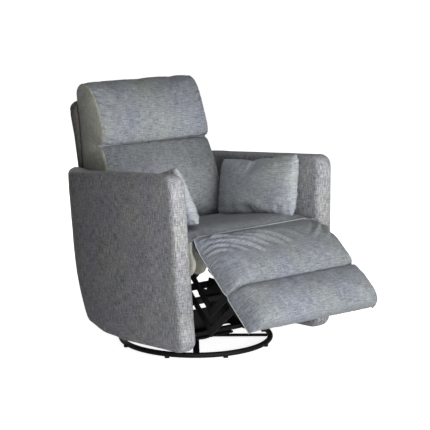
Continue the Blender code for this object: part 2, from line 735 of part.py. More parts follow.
def build_back():
    origin = (0, BACK_Y, BACK_Z)
    lean = math.atan(BACK_SLOPE)
    up = Vector((0, math.sin(lean), math.cos(lean)))
    out = Vector((0, math.cos(lean), -math.sin(lean)))
    frame = (Vector((0, board_front(BACK_FOOT_Z), BACK_FOOT_Z)), Vector((1, 0, 0)), up, out)
    tall = (BACK_TOP_Z - BACK_FOOT_Z) / math.cos(lean)
    cr, half = 0.045, BACK_HALF
    outline = arc(half - 0.02, 0.02, 0.02, 270, 360, 4) + arc(half - cr, tall - cr, cr, 0, 90, 5)
    outline += arc(-half + cr, tall - cr, cr, 90, 180, 5) + arc(-half + 0.02, 0.02, 0.02, 180, 270, 4)
    bm = bmesh.new()
    prism_into(bm, frame, outline, 0.0, BACK_T * math.cos(lean))
    finish("back_board", bm, "fabric", origin)

    def face(z):
        return board_front(z) - GAP * 2

    lumbar = [(face(0.450), 0.450), (face(0.60), 0.60), (face(0.784), 0.784), (0.300, 0.790),
              (0.258, 0.784), (0.240, 0.752), (0.212, 0.685), (0.193, 0.620), (0.182, 0.555),
              (0.180, 0.500), (0.194, 0.456), (0.250, 0.450)]
    cushion("lumbar_cushion", lumbar, ((0.250, 0.500), (0.315, 0.740)), CUSHION_HALF, 0.036, origin)
    head = [(face(0.790), 0.7905), (face(0.87), 0.87), (face(0.952), 0.952), (0.434, 0.985),
            (0.426, 1.018), (0.395, 1.040), (0.352, 1.030), (0.318, 0.990), (0.290, 0.935),
            (0.268, 0.880), (0.254, 0.830), (0.256, 0.795), (0.300, 0.7905)]
    cushion("head_cushion", head, ((0.330, 0.840), (0.378, 0.975)), HEAD_HALF, 0.036, origin)

    t1 = MECH_X - GAP
    for side, tag in ((-1, "r"), (1, "l")):
        low, high = 0.350, 0.438
        rim = [(board_front(z) - GAP * 1.5, z) for z in (low, high)]
        outline = arc(BACK_Y, BACK_Z, 0.016, 110, 270, 6) + rim
        plate("back_bracket_" + tag, side, outline, t1 - STEEL_T, t1, (),
              [(BACK_Y, BACK_Z, PIN_R, t1, t1 + STEEL_T + 0.002)],
              (side * (t1 - STEEL_T / 2), BACK_Y, BACK_Z))


def main():
    clear_scene()
    z = build_base() + GAP
    z = race("race_lower", z) + GAP
    z = build_swivel(z)
    for side, tag in ((-1, "r"), (1, "l")):
        glider_side(side, tag, z)
    build_carriage()
    build_legrest()
    build_back()


main()
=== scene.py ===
import math

import bmesh
import bpy
import numpy as np
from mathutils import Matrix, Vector, noise


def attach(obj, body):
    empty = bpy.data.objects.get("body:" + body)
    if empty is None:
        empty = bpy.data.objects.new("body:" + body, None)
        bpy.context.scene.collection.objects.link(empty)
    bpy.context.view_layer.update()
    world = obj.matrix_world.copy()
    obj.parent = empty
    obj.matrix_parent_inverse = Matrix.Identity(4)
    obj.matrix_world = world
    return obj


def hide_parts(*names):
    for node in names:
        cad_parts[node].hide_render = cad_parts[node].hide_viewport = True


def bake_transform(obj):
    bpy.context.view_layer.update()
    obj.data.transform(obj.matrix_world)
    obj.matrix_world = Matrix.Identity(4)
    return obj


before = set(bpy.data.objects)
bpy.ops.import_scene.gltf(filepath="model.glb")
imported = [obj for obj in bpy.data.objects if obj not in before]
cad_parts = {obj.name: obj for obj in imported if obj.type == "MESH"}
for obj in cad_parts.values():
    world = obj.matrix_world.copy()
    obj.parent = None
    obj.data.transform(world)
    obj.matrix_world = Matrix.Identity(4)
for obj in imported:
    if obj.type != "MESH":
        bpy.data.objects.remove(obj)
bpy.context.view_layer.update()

# ------------------------------------------------------------ frame's lengths
SHIFT_Y = 0.15735
ARM_IN, ARM_T, ARM_CORNER = 0.318, 0.077, 0.160
ARM_REAR, ARM_FRONT, ARM_END_X = 0.402, -0.386, 0.316
LEAN, FLARE, LEAN_Z = 0.050, 0.045, 0.400
RIM_FRONT_Z, RIM_FALL, ARM_LOW_Z, NOSE = 0.778, 0.124, 0.059, 0.052
SEAT_SLOPE, SEAT_Z, SEAT_Y, SEAT_HALF = 0.1313, 0.447, -0.262, 0.305
HINGE_Y, HINGE_Z, LEG_PITCH = -0.372, 0.500, math.radians(40.0)
LEG_HALF = 0.312
BACK_SLOPE = 0.200
BACK_T, BACK_FOOT_Z, BACK_TOP_Z, BACK_REAR_Y = 0.036, 0.330, 0.950, 0.341
BACK_HALF, CUSHION_HALF, HEAD_HALF = 0.291, 0.289, 0.277

# ------------------------------------------------------------- cloth sewing
SEAM_IN = 0.0030        # how far a plain seam is drawn in
SEAM_ROLL = 0.0085      # width of the roll of cloth beside a seam
PIPING_R = 0.0026       # the cord across the front of the seat
WELT_R = 0.0019         # the cords down the sides of the legrest


# ------------------------------------------------------------------- helpers
def smoothstep(t):
    t = np.clip(t, 0.0, 1.0)
    return t * t * (3.0 - 2.0 * t)


def spline(points, spacing):
    """Smooth open line through the points, at even spacing."""
    pts = np.array(points, float)
    ext = np.vstack([2 * pts[0] - pts[1], pts, 2 * pts[-1] - pts[-2]])
    fine = []
    for k in range(1, len(ext) - 2):
        p0, p1, p2, p3 = ext[k - 1], ext[k], ext[k + 1], ext[k + 2]
        for t in np.linspace(0.0, 1.0, 14, endpoint=False):
            fine.append(0.5 * (2 * p1 + (p2 - p0) * t + (2 * p0 - 5 * p1 + 4 * p2 - p3) * t * t
                               + (3 * p1 - p0 - 3 * p2 + p3) * t ** 3))
    fine.append(ext[-2])
    length = np.linalg.norm(np.diff(np.array(fine), axis=0), axis=1).sum()
    return even(fine, max(3, int(round(length / spacing)) + 1))


def run_along(points):
    """Length run along an open line up to each of its points."""
    return np.concatenate([[0.0], np.cumsum(np.linalg.norm(np.diff(points, axis=0), axis=1))])


def even(points, count):
    """The same line with count points at even steps."""
    pts = np.array(points, float)
    run = run_along(pts)
    want = np.linspace(0.0, run[-1], count)
    return np.stack([np.interp(want, run, pts[:, k]) for k in range(pts.shape[1])], 1)


def spread(length, step, near, ring):
    """Stations from 0 to length: fine ones near both ends, then even steps."""
    ends = [near * k / ring for k in range(ring + 1)]
    count = max(2, int(round((length - 2 * near) / step)))
    middle = [near + (length - 2 * near) * k / count for k in range(1, count)]
    return np.array(ends + middle + [length - e for e in reversed(ends)])


def away(points, outline):
    """Distance from each point to a closed outline."""
    a = np.asarray(outline)
    b = np.roll(a, -1, axis=0)
    d = b - a
    size = np.maximum((d * d).sum(1), 1e-16)
    best = np.full(len(points), 1e9)
    for k in range(len(a)):
        rel = points - a[k]
        t = np.clip((rel @ d[k]) / size[k], 0.0, 1.0)
        best = np.minimum(best, np.linalg.norm(rel - t[:, None] * d[k], axis=1))
    return best


def closed_mesh(name, points, faces, uvs=None):
    """A mesh with its faces outwards and, where given, a cloth map in metres."""
    mesh = bpy.data.meshes.new(name)
    mesh.from_pydata([tuple(v) for v in points], [], [tuple(f) for f in faces])
    if uvs is not None:
        layer = mesh.uv_layers.new(name="cloth")
        layer.data.foreach_set("uv", [c for face in uvs for pair in face for c in pair])
    bm = bmesh.new()
    bm.from_mesh(mesh)
    bmesh.ops.recalc_face_normals(bm, faces=bm.faces)
    if bm.calc_volume(signed=True) < 0.0:
        bmesh.ops.reverse_faces(bm, faces=bm.faces)
    bm.to_mesh(mesh)
    bm.free()
    return mesh


def make_object(name, points, faces, uvs, mat, body=None, stands_for=()):
    """One sewn piece, riding on a body and standing for the frame's soft solids."""
    mesh = closed_mesh(name, points, faces, uvs)
    mesh.polygons.foreach_set("use_smooth", [True] * len(mesh.polygons))
    mesh.materials.append(mat)
    ob = bpy.data.objects.new(name, mesh)
    bpy.context.scene.collection.objects.link(ob)
    if body:
        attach(ob, body)
    if stands_for:
        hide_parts(*stands_for)
    return ob


def filled_in(rim_grid):
    """The inside of a grid of plan points, blended from its four edges."""
    run_u, run_v = run_along(rim_grid[:, 0]), run_along(rim_grid[0])
    u = (run_u / run_u[-1])[:, None, None]
    v = (run_v / run_v[-1])[None, :, None]
    g = rim_grid
    return ((1 - v) * g[:, :1] + v * g[:, -1:] + (1 - u) * g[:1] + u * g[-1:]
            - ((1 - u) * (1 - v) * g[0, 0] + u * (1 - v) * g[-1, 0]
               + (1 - u) * v * g[0, -1] + u * v * g[-1, -1]))


def boxed(chains, across, step, bulge=0.004, reach=0.04, edge=SEAM_IN, roll=SEAM_ROLL):
    """A boxed cushion: two side panels of one outline joined by a band.

    chains are the outline's low, far, top and near lines.  Each point comes back
    with its place in the outline and across; on_band says which lie on the band,
    and gaps how far each is from the nearest seam."""
    low, far, top, near = [np.array(c, float) for c in chains]
    n, m = len(low), len(far)
    loop_ij = ([(i, 0) for i in range(n - 1)] + [(n - 1, j) for j in range(m - 1)]
               + [(i, m - 1) for i in range(n - 1, 0, -1)] + [(0, j) for j in range(m - 1, 0, -1)])
    rim = np.vstack([low[:-1], far[:-1], top[:0:-1], near[:0:-1]])
    step_on = np.roll(rim, -1, axis=0) - rim
    turn = step_on / np.linalg.norm(step_on, axis=1)[:, None]
    turn = turn + np.roll(turn, 1, axis=0)
    turn /= np.maximum(np.linalg.norm(turn, axis=1)[:, None], 1e-9)
    inward = np.stack([-turn[:, 1], turn[:, 0]], 1)
    run = np.concatenate([[0.0], np.cumsum(np.linalg.norm(step_on, axis=1))])

    grid = np.zeros((n, m, 2))
    for k, (i, j) in enumerate(loop_ij):
        grid[i, j] = rim[k] + inward[k] * edge
    patch = filled_in(grid)
    inner = patch.reshape(-1, 2)
    depth = away(inner, rim)
    panel_w = edge * np.maximum(0.0, 1 - np.maximum(0.0, depth - edge) / roll) ** 2
    panel_w = panel_w - bulge * (1 - np.exp(-np.maximum(0.0, depth - edge) / reach))

    spots, on_band, gaps, index = [], [], [], {}

    def add(key, ab, w, band, gap):
        index[key] = len(spots)
        spots.append((ab[0], ab[1], w))
        on_band.append(band)
        gaps.append(gap)

    for side in (0, 1):
        for k in range(n * m):
            w = panel_w[k] if side == 0 else across - panel_w[k]
            add(("panel", side, k // m, k % m), inner[k], w, False, depth[k])
    ws = spread(across - 2 * edge, step, roll, 4) + edge
    for r, w in enumerate(ws[1:-1]):
        gap = min(w, across - w) - edge
        inset = edge * max(0.0, 1 - gap / roll) ** 2
        for k in range(len(rim)):
            add(("band", r, k), rim[k] + inward[k] * inset, w, True, gap)
    rows = [("panel", 0)] + [("band", r) for r in range(len(ws) - 2)] + [("panel", 1)]

    def rim_point(row, k):
        kind, r = row
        place = (k,) if kind == "band" else loop_ij[k]
        return index[(kind, r) + place]

    faces, uvs = [], []
    for r in range(len(rows) - 1):
        for k in range(len(rim)):
            q = (k + 1) % len(rim)
            faces.append((rim_point(rows[r], k), rim_point(rows[r], q),
                          rim_point(rows[r + 1], q), rim_point(rows[r + 1], k)))
            uvs.append([(ws[r], run[k]), (ws[r], run[k + 1]), (ws[r + 1], run[k + 1]),
                        (ws[r + 1], run[k])])
    for side in (0, 1):
        for i in range(n - 1):
            for j in range(m - 1):
                quad = [(i, j), (i + 1, j), (i + 1, j + 1), (i, j + 1)]
                faces.append([index["panel", side, a, b] for a, b in quad])
                uvs.append([tuple(patch[a, b]) for a, b in quad])
    return np.array(spots), np.array(on_band), np.array(gaps), faces, uvs


def normals_of(points, faces):
    """Unit normal at each point, from the four-sided faces round it."""
    out = np.zeros_like(points)
    quads = np.array([f for f in faces if len(f) == 4])
    a, b, c, d = [points[quads[:, k]] for k in range(4)]
    face_n = np.cross(c - a, d - b)
    for k in range(4):
        np.add.at(out, quads[:, k], face_n)
    return out / np.maximum(np.linalg.norm(out, axis=1)[:, None], 1e-12)


def push(points, faces, amount):
    """Moves each point outwards along its normal."""
    n = normals_of(points, faces)
    mid = points.mean(0)
    if ((points - mid) * n).sum() < 0:
        n = -n
    return points + n * np.asarray(amount)[:, None]


def lumps(points, size, seed):
    """Soft uneven filling, from -1 to 1."""
    shift = Vector((seed * 3.7, seed * 1.3, seed * 2.1))
    return np.array([noise.noise(Vector(p) / size + shift) for p in points])


def pucker(t, w, centre, across, width, length, depth):
    """One short gather that runs away from a seam."""
    line = np.exp(-((t - centre) / width) ** 2) - 0.55 * (
        np.exp(-((t - centre - 1.7 * width) / width) ** 2)
        + np.exp(-((t - centre + 1.7 * width) / width) ** 2))
    return -depth * line * np.exp(-((w - across) / length) ** 2)


def laid_out(grid):
    """True lengths along both directions of a grid of points, from its middle."""
    along = np.concatenate([np.zeros((1, grid.shape[1])),
                            np.cumsum(np.linalg.norm(np.diff(grid, axis=0), axis=2), 0)])
    across = np.concatenate([np.zeros((grid.shape[0], 1)),
                             np.cumsum(np.linalg.norm(np.diff(grid, axis=1), axis=2), 1)], 1)
    along = along - along[len(along) // 2]
    across = across - across[:, across.shape[1] // 2][:, None]
    return along, across


def relaxed(points, faces, held, pressure, grow, cap, stiff, bend, frames=20):
    """Lets a cover settle over its filling with a short cloth run.

    held is 1 where the cover is sewn or stapled down; cap bounds the move."""
    scene = bpy.context.scene
    mesh = closed_mesh("settling", points, faces)
    ob = bpy.data.objects.new("settling", mesh)
    scene.collection.objects.link(ob)
    group = ob.vertex_groups.new(name="held")
    held = np.clip(np.round(np.asarray(held, float), 2), 0, 1)
    for weight in np.unique(held):
        if weight > 0:
            group.add([int(i) for i in np.nonzero(held == weight)[0]], float(weight), "REPLACE")
    run = ob.modifiers.new("settle", "CLOTH")
    rules = run.settings
    rules.quality = 5
    rules.mass = 0.2
    rules.tension_stiffness = rules.compression_stiffness = stiff
    rules.shear_stiffness = stiff * 0.5
    rules.bending_stiffness = bend
    rules.use_pressure = True
    rules.uniform_pressure_force = pressure
    rules.shrink_min = -grow
    if held.max() > 0:
        rules.vertex_group_mass = "held"
        rules.pin_stiffness = 4.0
    rules.effector_weights.gravity = 0.0
    run.collision_settings.use_collision = False
    run.point_cache.frame_start = 1
    run.point_cache.frame_end = frames
    for frame_no in range(1, frames + 1):
        scene.frame_set(frame_no)
    shaped = ob.evaluated_get(bpy.context.evaluated_depsgraph_get()).to_mesh()
    flat = np.empty(len(points) * 3)
    shaped.vertices.foreach_get("co", flat)
    move = flat.reshape(-1, 3) - points
    bpy.data.objects.remove(ob)
    bpy.data.meshes.remove(mesh)
    scene.frame_set(1)
    far = np.maximum(np.linalg.norm(move, axis=1), 1e-9)
    return points + move * (cap * np.tanh(far / cap) / far)[:, None]


def welt(name, path, r, body=None, count=8, end=0.55):
    """Covered cord along an open line of points, drawn in at both ends."""
    pts = np.array(path, float)
    n = len(pts)
    verts, faces, uvs = [], [], []
    up_hint = Vector((0.02, 0.01, 1.0)).normalized()
    run = run_along(pts)
    for k in range(n):
        d = Vector(pts[min(n - 1, k + 1)] - pts[max(0, k - 1)])
        d.normalize()
        side = d.cross(up_hint)
        if side.length < 0.05:
            side = d.cross(Vector((1, 0, 0)))
        side.normalize()
        up = side.cross(d).normalized()
        size = r * (end if k in (0, n - 1) else 1.0)
        for j in range(count):
            a = 2 * math.pi * j / count
            verts.append(tuple(Vector(pts[k]) + (side * math.cos(a) + up * math.sin(a)) * size))
    for k in range(n - 1):
        q = k + 1
        for j in range(count):
            i = (j + 1) % count
            faces.append((k * count + j, k * count + i, q * count + i, q * count + j))
            c0, c1 = j * 2 * math.pi * r / count, (j + 1) * 2 * math.pi * r / count
            uvs.append([(c0, run[k]), (c1, run[k]), (c1, run[q]), (c0, run[q])])
    for base in (0, (n - 1) * count):
        faces.append([base + j for j in range(count)])
        uvs.append([(0.0, 0.0)] * count)
    return make_object(name, verts, faces, uvs, WELT_CLOTH, body)


# ----------------------------------------------------------------- materials
class Tree:
    """Short names for building a node tree."""

    def __init__(self, tree):
        self.tree = tree

    def node(self, kind, **values):
        n = self.tree.nodes.new(kind)
        for key, value in values.items():
            setattr(n, key, value)
        return n

    def link(self, a, b):
        self.tree.links.new(a, b)

    def put(self, socket, value):
        """Feeds a socket from another node, or sets it."""
        if isinstance(value, bpy.types.NodeSocket):
            self.link(value, socket)
        else:
            socket.default_value = value

    def math(self, op, a, b=0.5, clamp=False):
        n = self.node("ShaderNodeMath", operation=op, use_clamp=clamp)
        self.put(n.inputs[0], a)
        self.put(n.inputs[1], b)
        return n.outputs[0]

    def scaled(self, vector, scale):
        n = self.node("ShaderNodeVectorMath", operation="MULTIPLY")
        self.link(vector, n.inputs[0])
        n.inputs[1].default_value = scale
        return n.outputs[0]

    def noise(self, vector, scale, detail=2.0, rough=0.5):
        n = self.node("ShaderNodeTexNoise")
        self.link(self.scaled(vector, scale), n.inputs["Vector"])
        n.inputs["Scale"].default_value = 1.0
        n.inputs["Detail"].default_value = detail
        n.inputs["Roughness"].default_value = rough
        return n.outputs["Fac"]

    def mix(self, factor, a, b):
        n = self.node("ShaderNodeMix", data_type="RGBA")
        self.put(n.inputs[0], factor)
        self.put(n.inputs[6], a)
        self.put(n.inputs[7], b)
        return n.outputs[2]

    def ramp(self, value, low, high, at_low=0.0, at_high=1.0, kind="LINEAR"):
        n = self.node("ShaderNodeMapRange", interpolation_type=kind)
        self.link(value, n.inputs["Value"])
        for label, edge in (("From Min", low), ("From Max", high), ("To Min", at_low),
                            ("To Max", at_high)):
            n.inputs[label].default_value = edge
        return n.outputs["Result"]


def new_group(name, takes, gives):
    """An empty shader group with its sockets, ready to be filled."""
    group = bpy.data.node_groups.new(name, "ShaderNodeTree")
    for label, kind, value in takes:
        socket = group.interface.new_socket(label, in_out="INPUT", socket_type=kind)
        if value is not None:
            socket.default_value = value
    for label, kind in gives:
        group.interface.new_socket(label, in_out="OUTPUT", socket_type=kind)
    t = Tree(group)
    return group, t, t.node("NodeGroupInput").outputs, t.node("NodeGroupOutput").inputs


YARN_ACROSS, YARN_ALONG = 290.0, 30.0      # noise cells in a metre of cloth
YARN_PITCH = 0.0026


def weave_group():
    """Heathered plain weave: light and dark yarns, slubs, streaks and nap."""
    group, t, given, out = new_group(
        "heathered weave",
        [("Place", "NodeSocketVector", None), ("Light yarn", "NodeSocketColor", (0.4, 0.4, 0.4, 1)),
         ("Dark yarn", "NodeSocketColor", (0.1, 0.1, 0.1, 1)),
         ("Slub", "NodeSocketFloat", 0.3), ("Streak", "NodeSocketFloat", 0.3),
         ("Nap", "NodeSocketFloat", 0.3)],
        [("Colour", "NodeSocketColor"), ("Height", "NodeSocketFloat"),
         ("Roughness", "NodeSocketFloat")])
    place = given["Place"]
    slub = t.noise(place, (YARN_ALONG, YARN_ACROSS, 1.0), 3.0, 0.70)
    streak = t.noise(place, (YARN_ACROSS, YARN_ALONG, 1.0), 3.0, 0.70)
    speck = t.noise(place, (380.0, 380.0, 1.0), 2.0, 0.6)
    nap = t.noise(place, (11.0, 8.0, 1.0), 3.0, 0.55)
    total = 0.5
    for value, weight in ((slub, given["Slub"]), (streak, given["Streak"]), (nap, given["Nap"])):
        part = t.math("MULTIPLY", t.math("SUBTRACT", value, 0.5), weight)
        total = t.math("ADD", part, total)
    grain = t.math("MULTIPLY", t.math("SUBTRACT", speck, 0.5), 0.5)
    total = t.math("ADD", total, grain, clamp=True)
    colour = t.mix(total, given["Dark yarn"], given["Light yarn"])
    warm = t.ramp(t.noise(place, (5.0, 4.0, 1.0), 2.0, 0.5), 0.36, 0.66)
    tinted = t.node("ShaderNodeMix", data_type="RGBA", blend_type="MULTIPLY")
    tinted.inputs[0].default_value = 1.0
    t.link(colour, tinted.inputs[6])
    t.link(t.mix(warm, (0.985, 0.975, 1.045, 1.0), (1.02, 1.02, 0.955, 1.0)), tinted.inputs[7])
    t.link(tinted.outputs[2], out["Colour"])

    parts = t.node("ShaderNodeSeparateXYZ")
    t.link(place, parts.inputs[0])
    over = t.math("SINE", t.math("MULTIPLY", parts.outputs["X"], 2 * math.pi / YARN_PITCH))
    under = t.math("SINE", t.math("MULTIPLY", parts.outputs["Y"], 2 * math.pi / YARN_PITCH))
    weave = t.math("MULTIPLY", over, under)
    height = t.math("ADD", t.math("MULTIPLY", weave, 0.25), t.math("MULTIPLY", slub, 0.6))
    height = t.math("ADD", height, t.math("MULTIPLY", streak, 0.45))
    t.link(height, out["Height"])
    t.link(t.ramp(total, -1.4, 1.2), out["Roughness"])
    return group


WEAVE = weave_group()


def paint_shade_along(t, colour, axis, ranges):
    """Painted light and shade: scales the cloth's colour by smooth ramps along one axis."""
    spot = t.node("ShaderNodeTexCoord")
    parts = t.node("ShaderNodeSeparateXYZ")
    t.link(spot.outputs["Object"], parts.inputs[0])
    along = parts.outputs[axis]
    shade = None
    for low, high, at_low, at_high in ranges:
        part = t.ramp(along, low, high, at_low, at_high, "SMOOTHSTEP")
        if shade is None:
            shade = part
        else:
            upper = t.math("GREATER_THAN", along, low)
            lift = t.math("SUBTRACT", part, shade)
            shade = t.math("ADD", shade, t.math("MULTIPLY", lift, upper))
    scaled = t.node("ShaderNodeVectorMath", operation="SCALE")
    t.link(colour, scaled.inputs[0])
    t.link(shade, scaled.inputs["Scale"])
    return scaled.outputs[0]


def surface(name, group, place_node, values, bump, depth):
    """A material with its roughness and relief from a shared group."""
    mat = bpy.data.materials.new(name)
    mat.use_nodes = True
    t = Tree(mat.node_tree)
    shader = mat.node_tree.nodes["Principled BSDF"]
    place = (t.node("ShaderNodeUVMap", uv_map="cloth").outputs["UV"] if place_node == "cloth"
             else t.node("ShaderNodeTexCoord").outputs["Object"])
    g = t.node("ShaderNodeGroup")
    g.node_tree = group
    t.link(place, g.inputs["Place"])
    for label, value in values.items():
        g.inputs[label].default_value = value
    t.link(g.outputs["Roughness"], shader.inputs["Roughness"])
    relief = t.node("ShaderNodeBump")
    relief.inputs["Strength"].default_value = bump
    relief.inputs["Distance"].default_value = depth
    t.link(g.outputs["Height"], relief.inputs["Height"])
    t.link(relief.outputs[0], shader.inputs["Normal"])
    return mat, t, shader, g.outputs["Colour"]


def cloth(name, light, dark, slub, streak, nap, painted_shade=None):
    """Upholstery cloth; the cloth map on each piece is in metres."""
    light, dark = light + (1,), dark + (1,)
    mat, t, shader, colour = surface(
        name, WEAVE, "cloth", {"Light yarn": light, "Dark yarn": dark, "Slub": slub,
                               "Streak": streak, "Nap": nap}, 0.25, 0.0012)
    # painted light and shade along one axis, where given
    if painted_shade:
        colour = paint_shade_along(t, colour, *painted_shade)
    t.link(colour, shader.inputs["Base Color"])
    shader.inputs["Sheen Weight"].default_value = 0.10
    shader.inputs["Sheen Roughness"].default_value = 0.45
    shader.inputs["Specular IOR Level"].default_value = 0.15
    mat.diffuse_color = light
    return mat


def wear_group():
    """Satin paint: faint orange peel, dust and rubbed spots."""
    group, t, given, out = new_group(
        "satin paint",
        [("Place", "NodeSocketVector", None), ("Paint", "NodeSocketColor", (0.02, 0.02, 0.02, 1)),
         ("Rubbed", "NodeSocketColor", (0.08, 0.08, 0.08, 1)),
         ("Roughness", "NodeSocketFloat", 0.4)],
        [("Colour", "NodeSocketColor"), ("Height", "NodeSocketFloat"),
         ("Roughness", "NodeSocketFloat")])
    spots = t.noise(given["Place"], (40.0, 40.0, 40.0), 4.0, 0.65)
    peel = t.noise(given["Place"], (900.0, 900.0, 900.0), 1.0, 0.5)
    rubbed = t.ramp(spots, 0.62, 0.78)
    t.link(t.mix(rubbed, given["Paint"], given["Rubbed"]), out["Colour"])
    shift = t.math("MULTIPLY", t.math("SUBTRACT", spots, 0.5), 0.35)
    t.link(t.math("ADD", given["Roughness"], shift, clamp=True), out["Roughness"])
    t.link(peel, out["Height"])
    return group


PAINT = wear_group()


def painted(name, paint, rubbed, rough, metal=0.0, bump=0.08):
    """Painted, wrapped or bare hard parts of the frame."""
    paint, rubbed = paint + (1,), rubbed + (1,)
    mat, t, shader, colour = surface(
        name, PAINT, "object", {"Paint": paint, "Rubbed": rubbed, "Roughness": rough},
        bump, 0.0004)
    t.link(colour, shader.inputs["Base Color"])
    shader.inputs["Metallic"].default_value = metal
    shader.inputs["Specular IOR Level"].default_value = 0.28
    mat.diffuse_color = paint
    return mat


# the arm cloth has painted shade: its colour is scaled from 1.13 at the front to 0.62 towards the
# rear, as the front light falls off
ARM_CLOTH = cloth("arm_cloth", (0.395, 0.398, 0.412), (0.095, 0.098, 0.108), 1.9, 2.9, 0.40,
                  painted_shade=("Y", ((-0.25, 0.55, 1.13, 0.62),)))
# the back cloth has painted light and shade: each roll is lighter low down, where it faces the
# front lamps, and darker towards its top, which faces up
BACK_CLOTH = cloth("back_cloth", (0.330, 0.350, 0.365), (0.115, 0.127, 0.136), 2.6, 1.6, 0.40,
                   painted_shade=("Z", ((0.50, 0.784, 1.50, 0.82), (0.789, 1.02, 1.32, 0.92))))
SEAT_CLOTH = cloth("seat_cloth", (0.295, 0.315, 0.335), (0.100, 0.111, 0.122), 2.5, 1.5, 0.35)
# painted light: the cushion's sides are the back's fabric, made lighter and more olive to stand in
# for the light they catch
LIT_SIDE_CLOTH = cloth("gusset_cloth_painted_lit", (0.430, 0.435, 0.395), (0.170, 0.174, 0.158), 1.0, 1.6, 0.3)
# painted light: the seat box panels sit in shade, so their cloth is made far lighter so that they
# read as lit
LIT_BOX_CLOTH = cloth("seat_box_cloth_painted_lit", (0.72, 0.72, 0.63), (0.34, 0.34, 0.29), 0.8, 1.2, 0.3)
REAR_CLOTH = cloth("rear_cloth", (0.16, 0.155, 0.135), (0.05, 0.049, 0.043), 1.0, 1.6, 0.3)
PILLOW_CLOTH = cloth("pillow_cloth", (0.470, 0.500, 0.520), (0.170, 0.187, 0.200), 2.2, 1.3,
                     0.40)
WELT_CLOTH = cloth("welt_cloth", (0.46, 0.48, 0.49), (0.28, 0.30, 0.31), 0.4, 0.8, 0.1)
BLACK_STEEL = painted("satin_black_steel", (0.004, 0.004, 0.0044), (0.010, 0.010, 0.0105), 0.50)
WIRE = painted("spring_wire", (0.10, 0.10, 0.10), (0.22, 0.21, 0.20), 0.35, metal=1.0)
FRAME_WOOD = painted("wrapped_rail", (0.13, 0.13, 0.11), (0.20, 0.19, 0.16), 0.85, bump=0.3)
DUST_COVER = painted("dust_cover", (0.006, 0.006, 0.0065), (0.012, 0.012, 0.012), 0.9, bump=0.4)


# --------------------------------------------------------------------- arms
def rim_z(y):
    """Height of the arm's upper edge, falling a little to the rear."""
    return RIM_FRONT_Z - RIM_FALL * (y - ARM_FRONT - NOSE)


def arm_plan(p):
    """Outer and inner plan points at a length p from the front."""
    out_x = ARM_IN + ARM_T
    cx, cy = out_x - ARM_CORNER, ARM_REAR - ARM_CORNER
    straight = cy - ARM_FRONT
    if p <= straight:
        y = ARM_FRONT + p
        return (out_x, y), (ARM_IN, y)
    r_in = ARM_CORNER - ARM_T
    out_end = math.acos((ARM_END_X - cx) / ARM_CORNER)
    in_end = math.acos((ARM_END_X - cx) / r_in)
    a = (p - straight) / ARM_CORNER
    b = a * in_end / out_end
    return ((cx + ARM_CORNER * math.cos(a), cy + ARM_CORNER * math.sin(a)),
            (cx + r_in * math.cos(b), cy + r_in * math.sin(b)))


def arm_length():
    cx = ARM_IN + ARM_T - ARM_CORNER
    straight = ARM_REAR - ARM_CORNER - ARM_FRONT
    return straight + ARM_CORNER * math.acos((ARM_END_X - cx) / ARM_CORNER)


def arm_mid_y(p):
    """Middle of the arm's thickness along Y, at a length p from the front."""
    outer, inner = arm_plan(p)
    return (outer[1] + inner[1]) / 2


LOW_FRONT_Y, LOW_FRONT_SLOPE = 0.02, 0.065     # the edge rises a little to the front
SWEEP_FROM, SWEEP_RUN, SWEEP_UP = 0.208, 0.136, 0.196
LOW_REAR_SLOPE = 0.150
BELLY_AT, BELLY_HALF, BELLY = 0.12, 0.06, 0.012


def arm_low(p):
    """Lower edge: nearly level, then swept up round the rear corner."""
    back = p + ARM_FRONT - LOW_FRONT_Y
    z = ARM_LOW_Z + SWEEP_UP * smoothstep((back - SWEEP_FROM) / SWEEP_RUN)
    z += LOW_REAR_SLOPE * max(0.0, back)
    z -= BELLY * math.exp(-((back - BELLY_AT) / BELLY_HALF) ** 2)
    return float(z + LOW_FRONT_SLOPE * max(0.0, LOW_FRONT_Y - arm_mid_y(p)))


def arm_top(p):
    return rim_z(arm_mid_y(p))


def nose_drop(p):
    """How far the rounded front corner falls below the edge."""
    if p >= NOSE:
        return 0.0
    return NOSE * (1.0 - math.sqrt(max(0.0, 1.0 - (1.0 - p / NOSE) ** 2)))


def arm_chains():
    """The arm's outline, unrolled: its low, far, top and near lines."""
    end = arm_length()
    front = [NOSE * (1 - math.cos(math.radians(a))) for a in range(0, 90, 9)]
    count = int((end - NOSE) / 0.010)
    body = [NOSE + (end - NOSE) * k / count for k in range(count + 1)]
    ps = front + body
    low = [(p, arm_low(p) + 0.85 * nose_drop(p)) for p in ps]
    top = [(p, arm_top(p) - nose_drop(p)) for p in ps]
    rows = 64
    near = [(0.0, low[0][1] + (top[0][1] - low[0][1]) * k / (rows - 1)) for k in range(rows)]
    far = [(end, low[-1][1] + (top[-1][1] - low[-1][1]) * k / (rows - 1)) for k in range(rows)]
    return low, far, top, near


ARM_SETTLE = 0.009        # the sitter's left arm sits this much lower


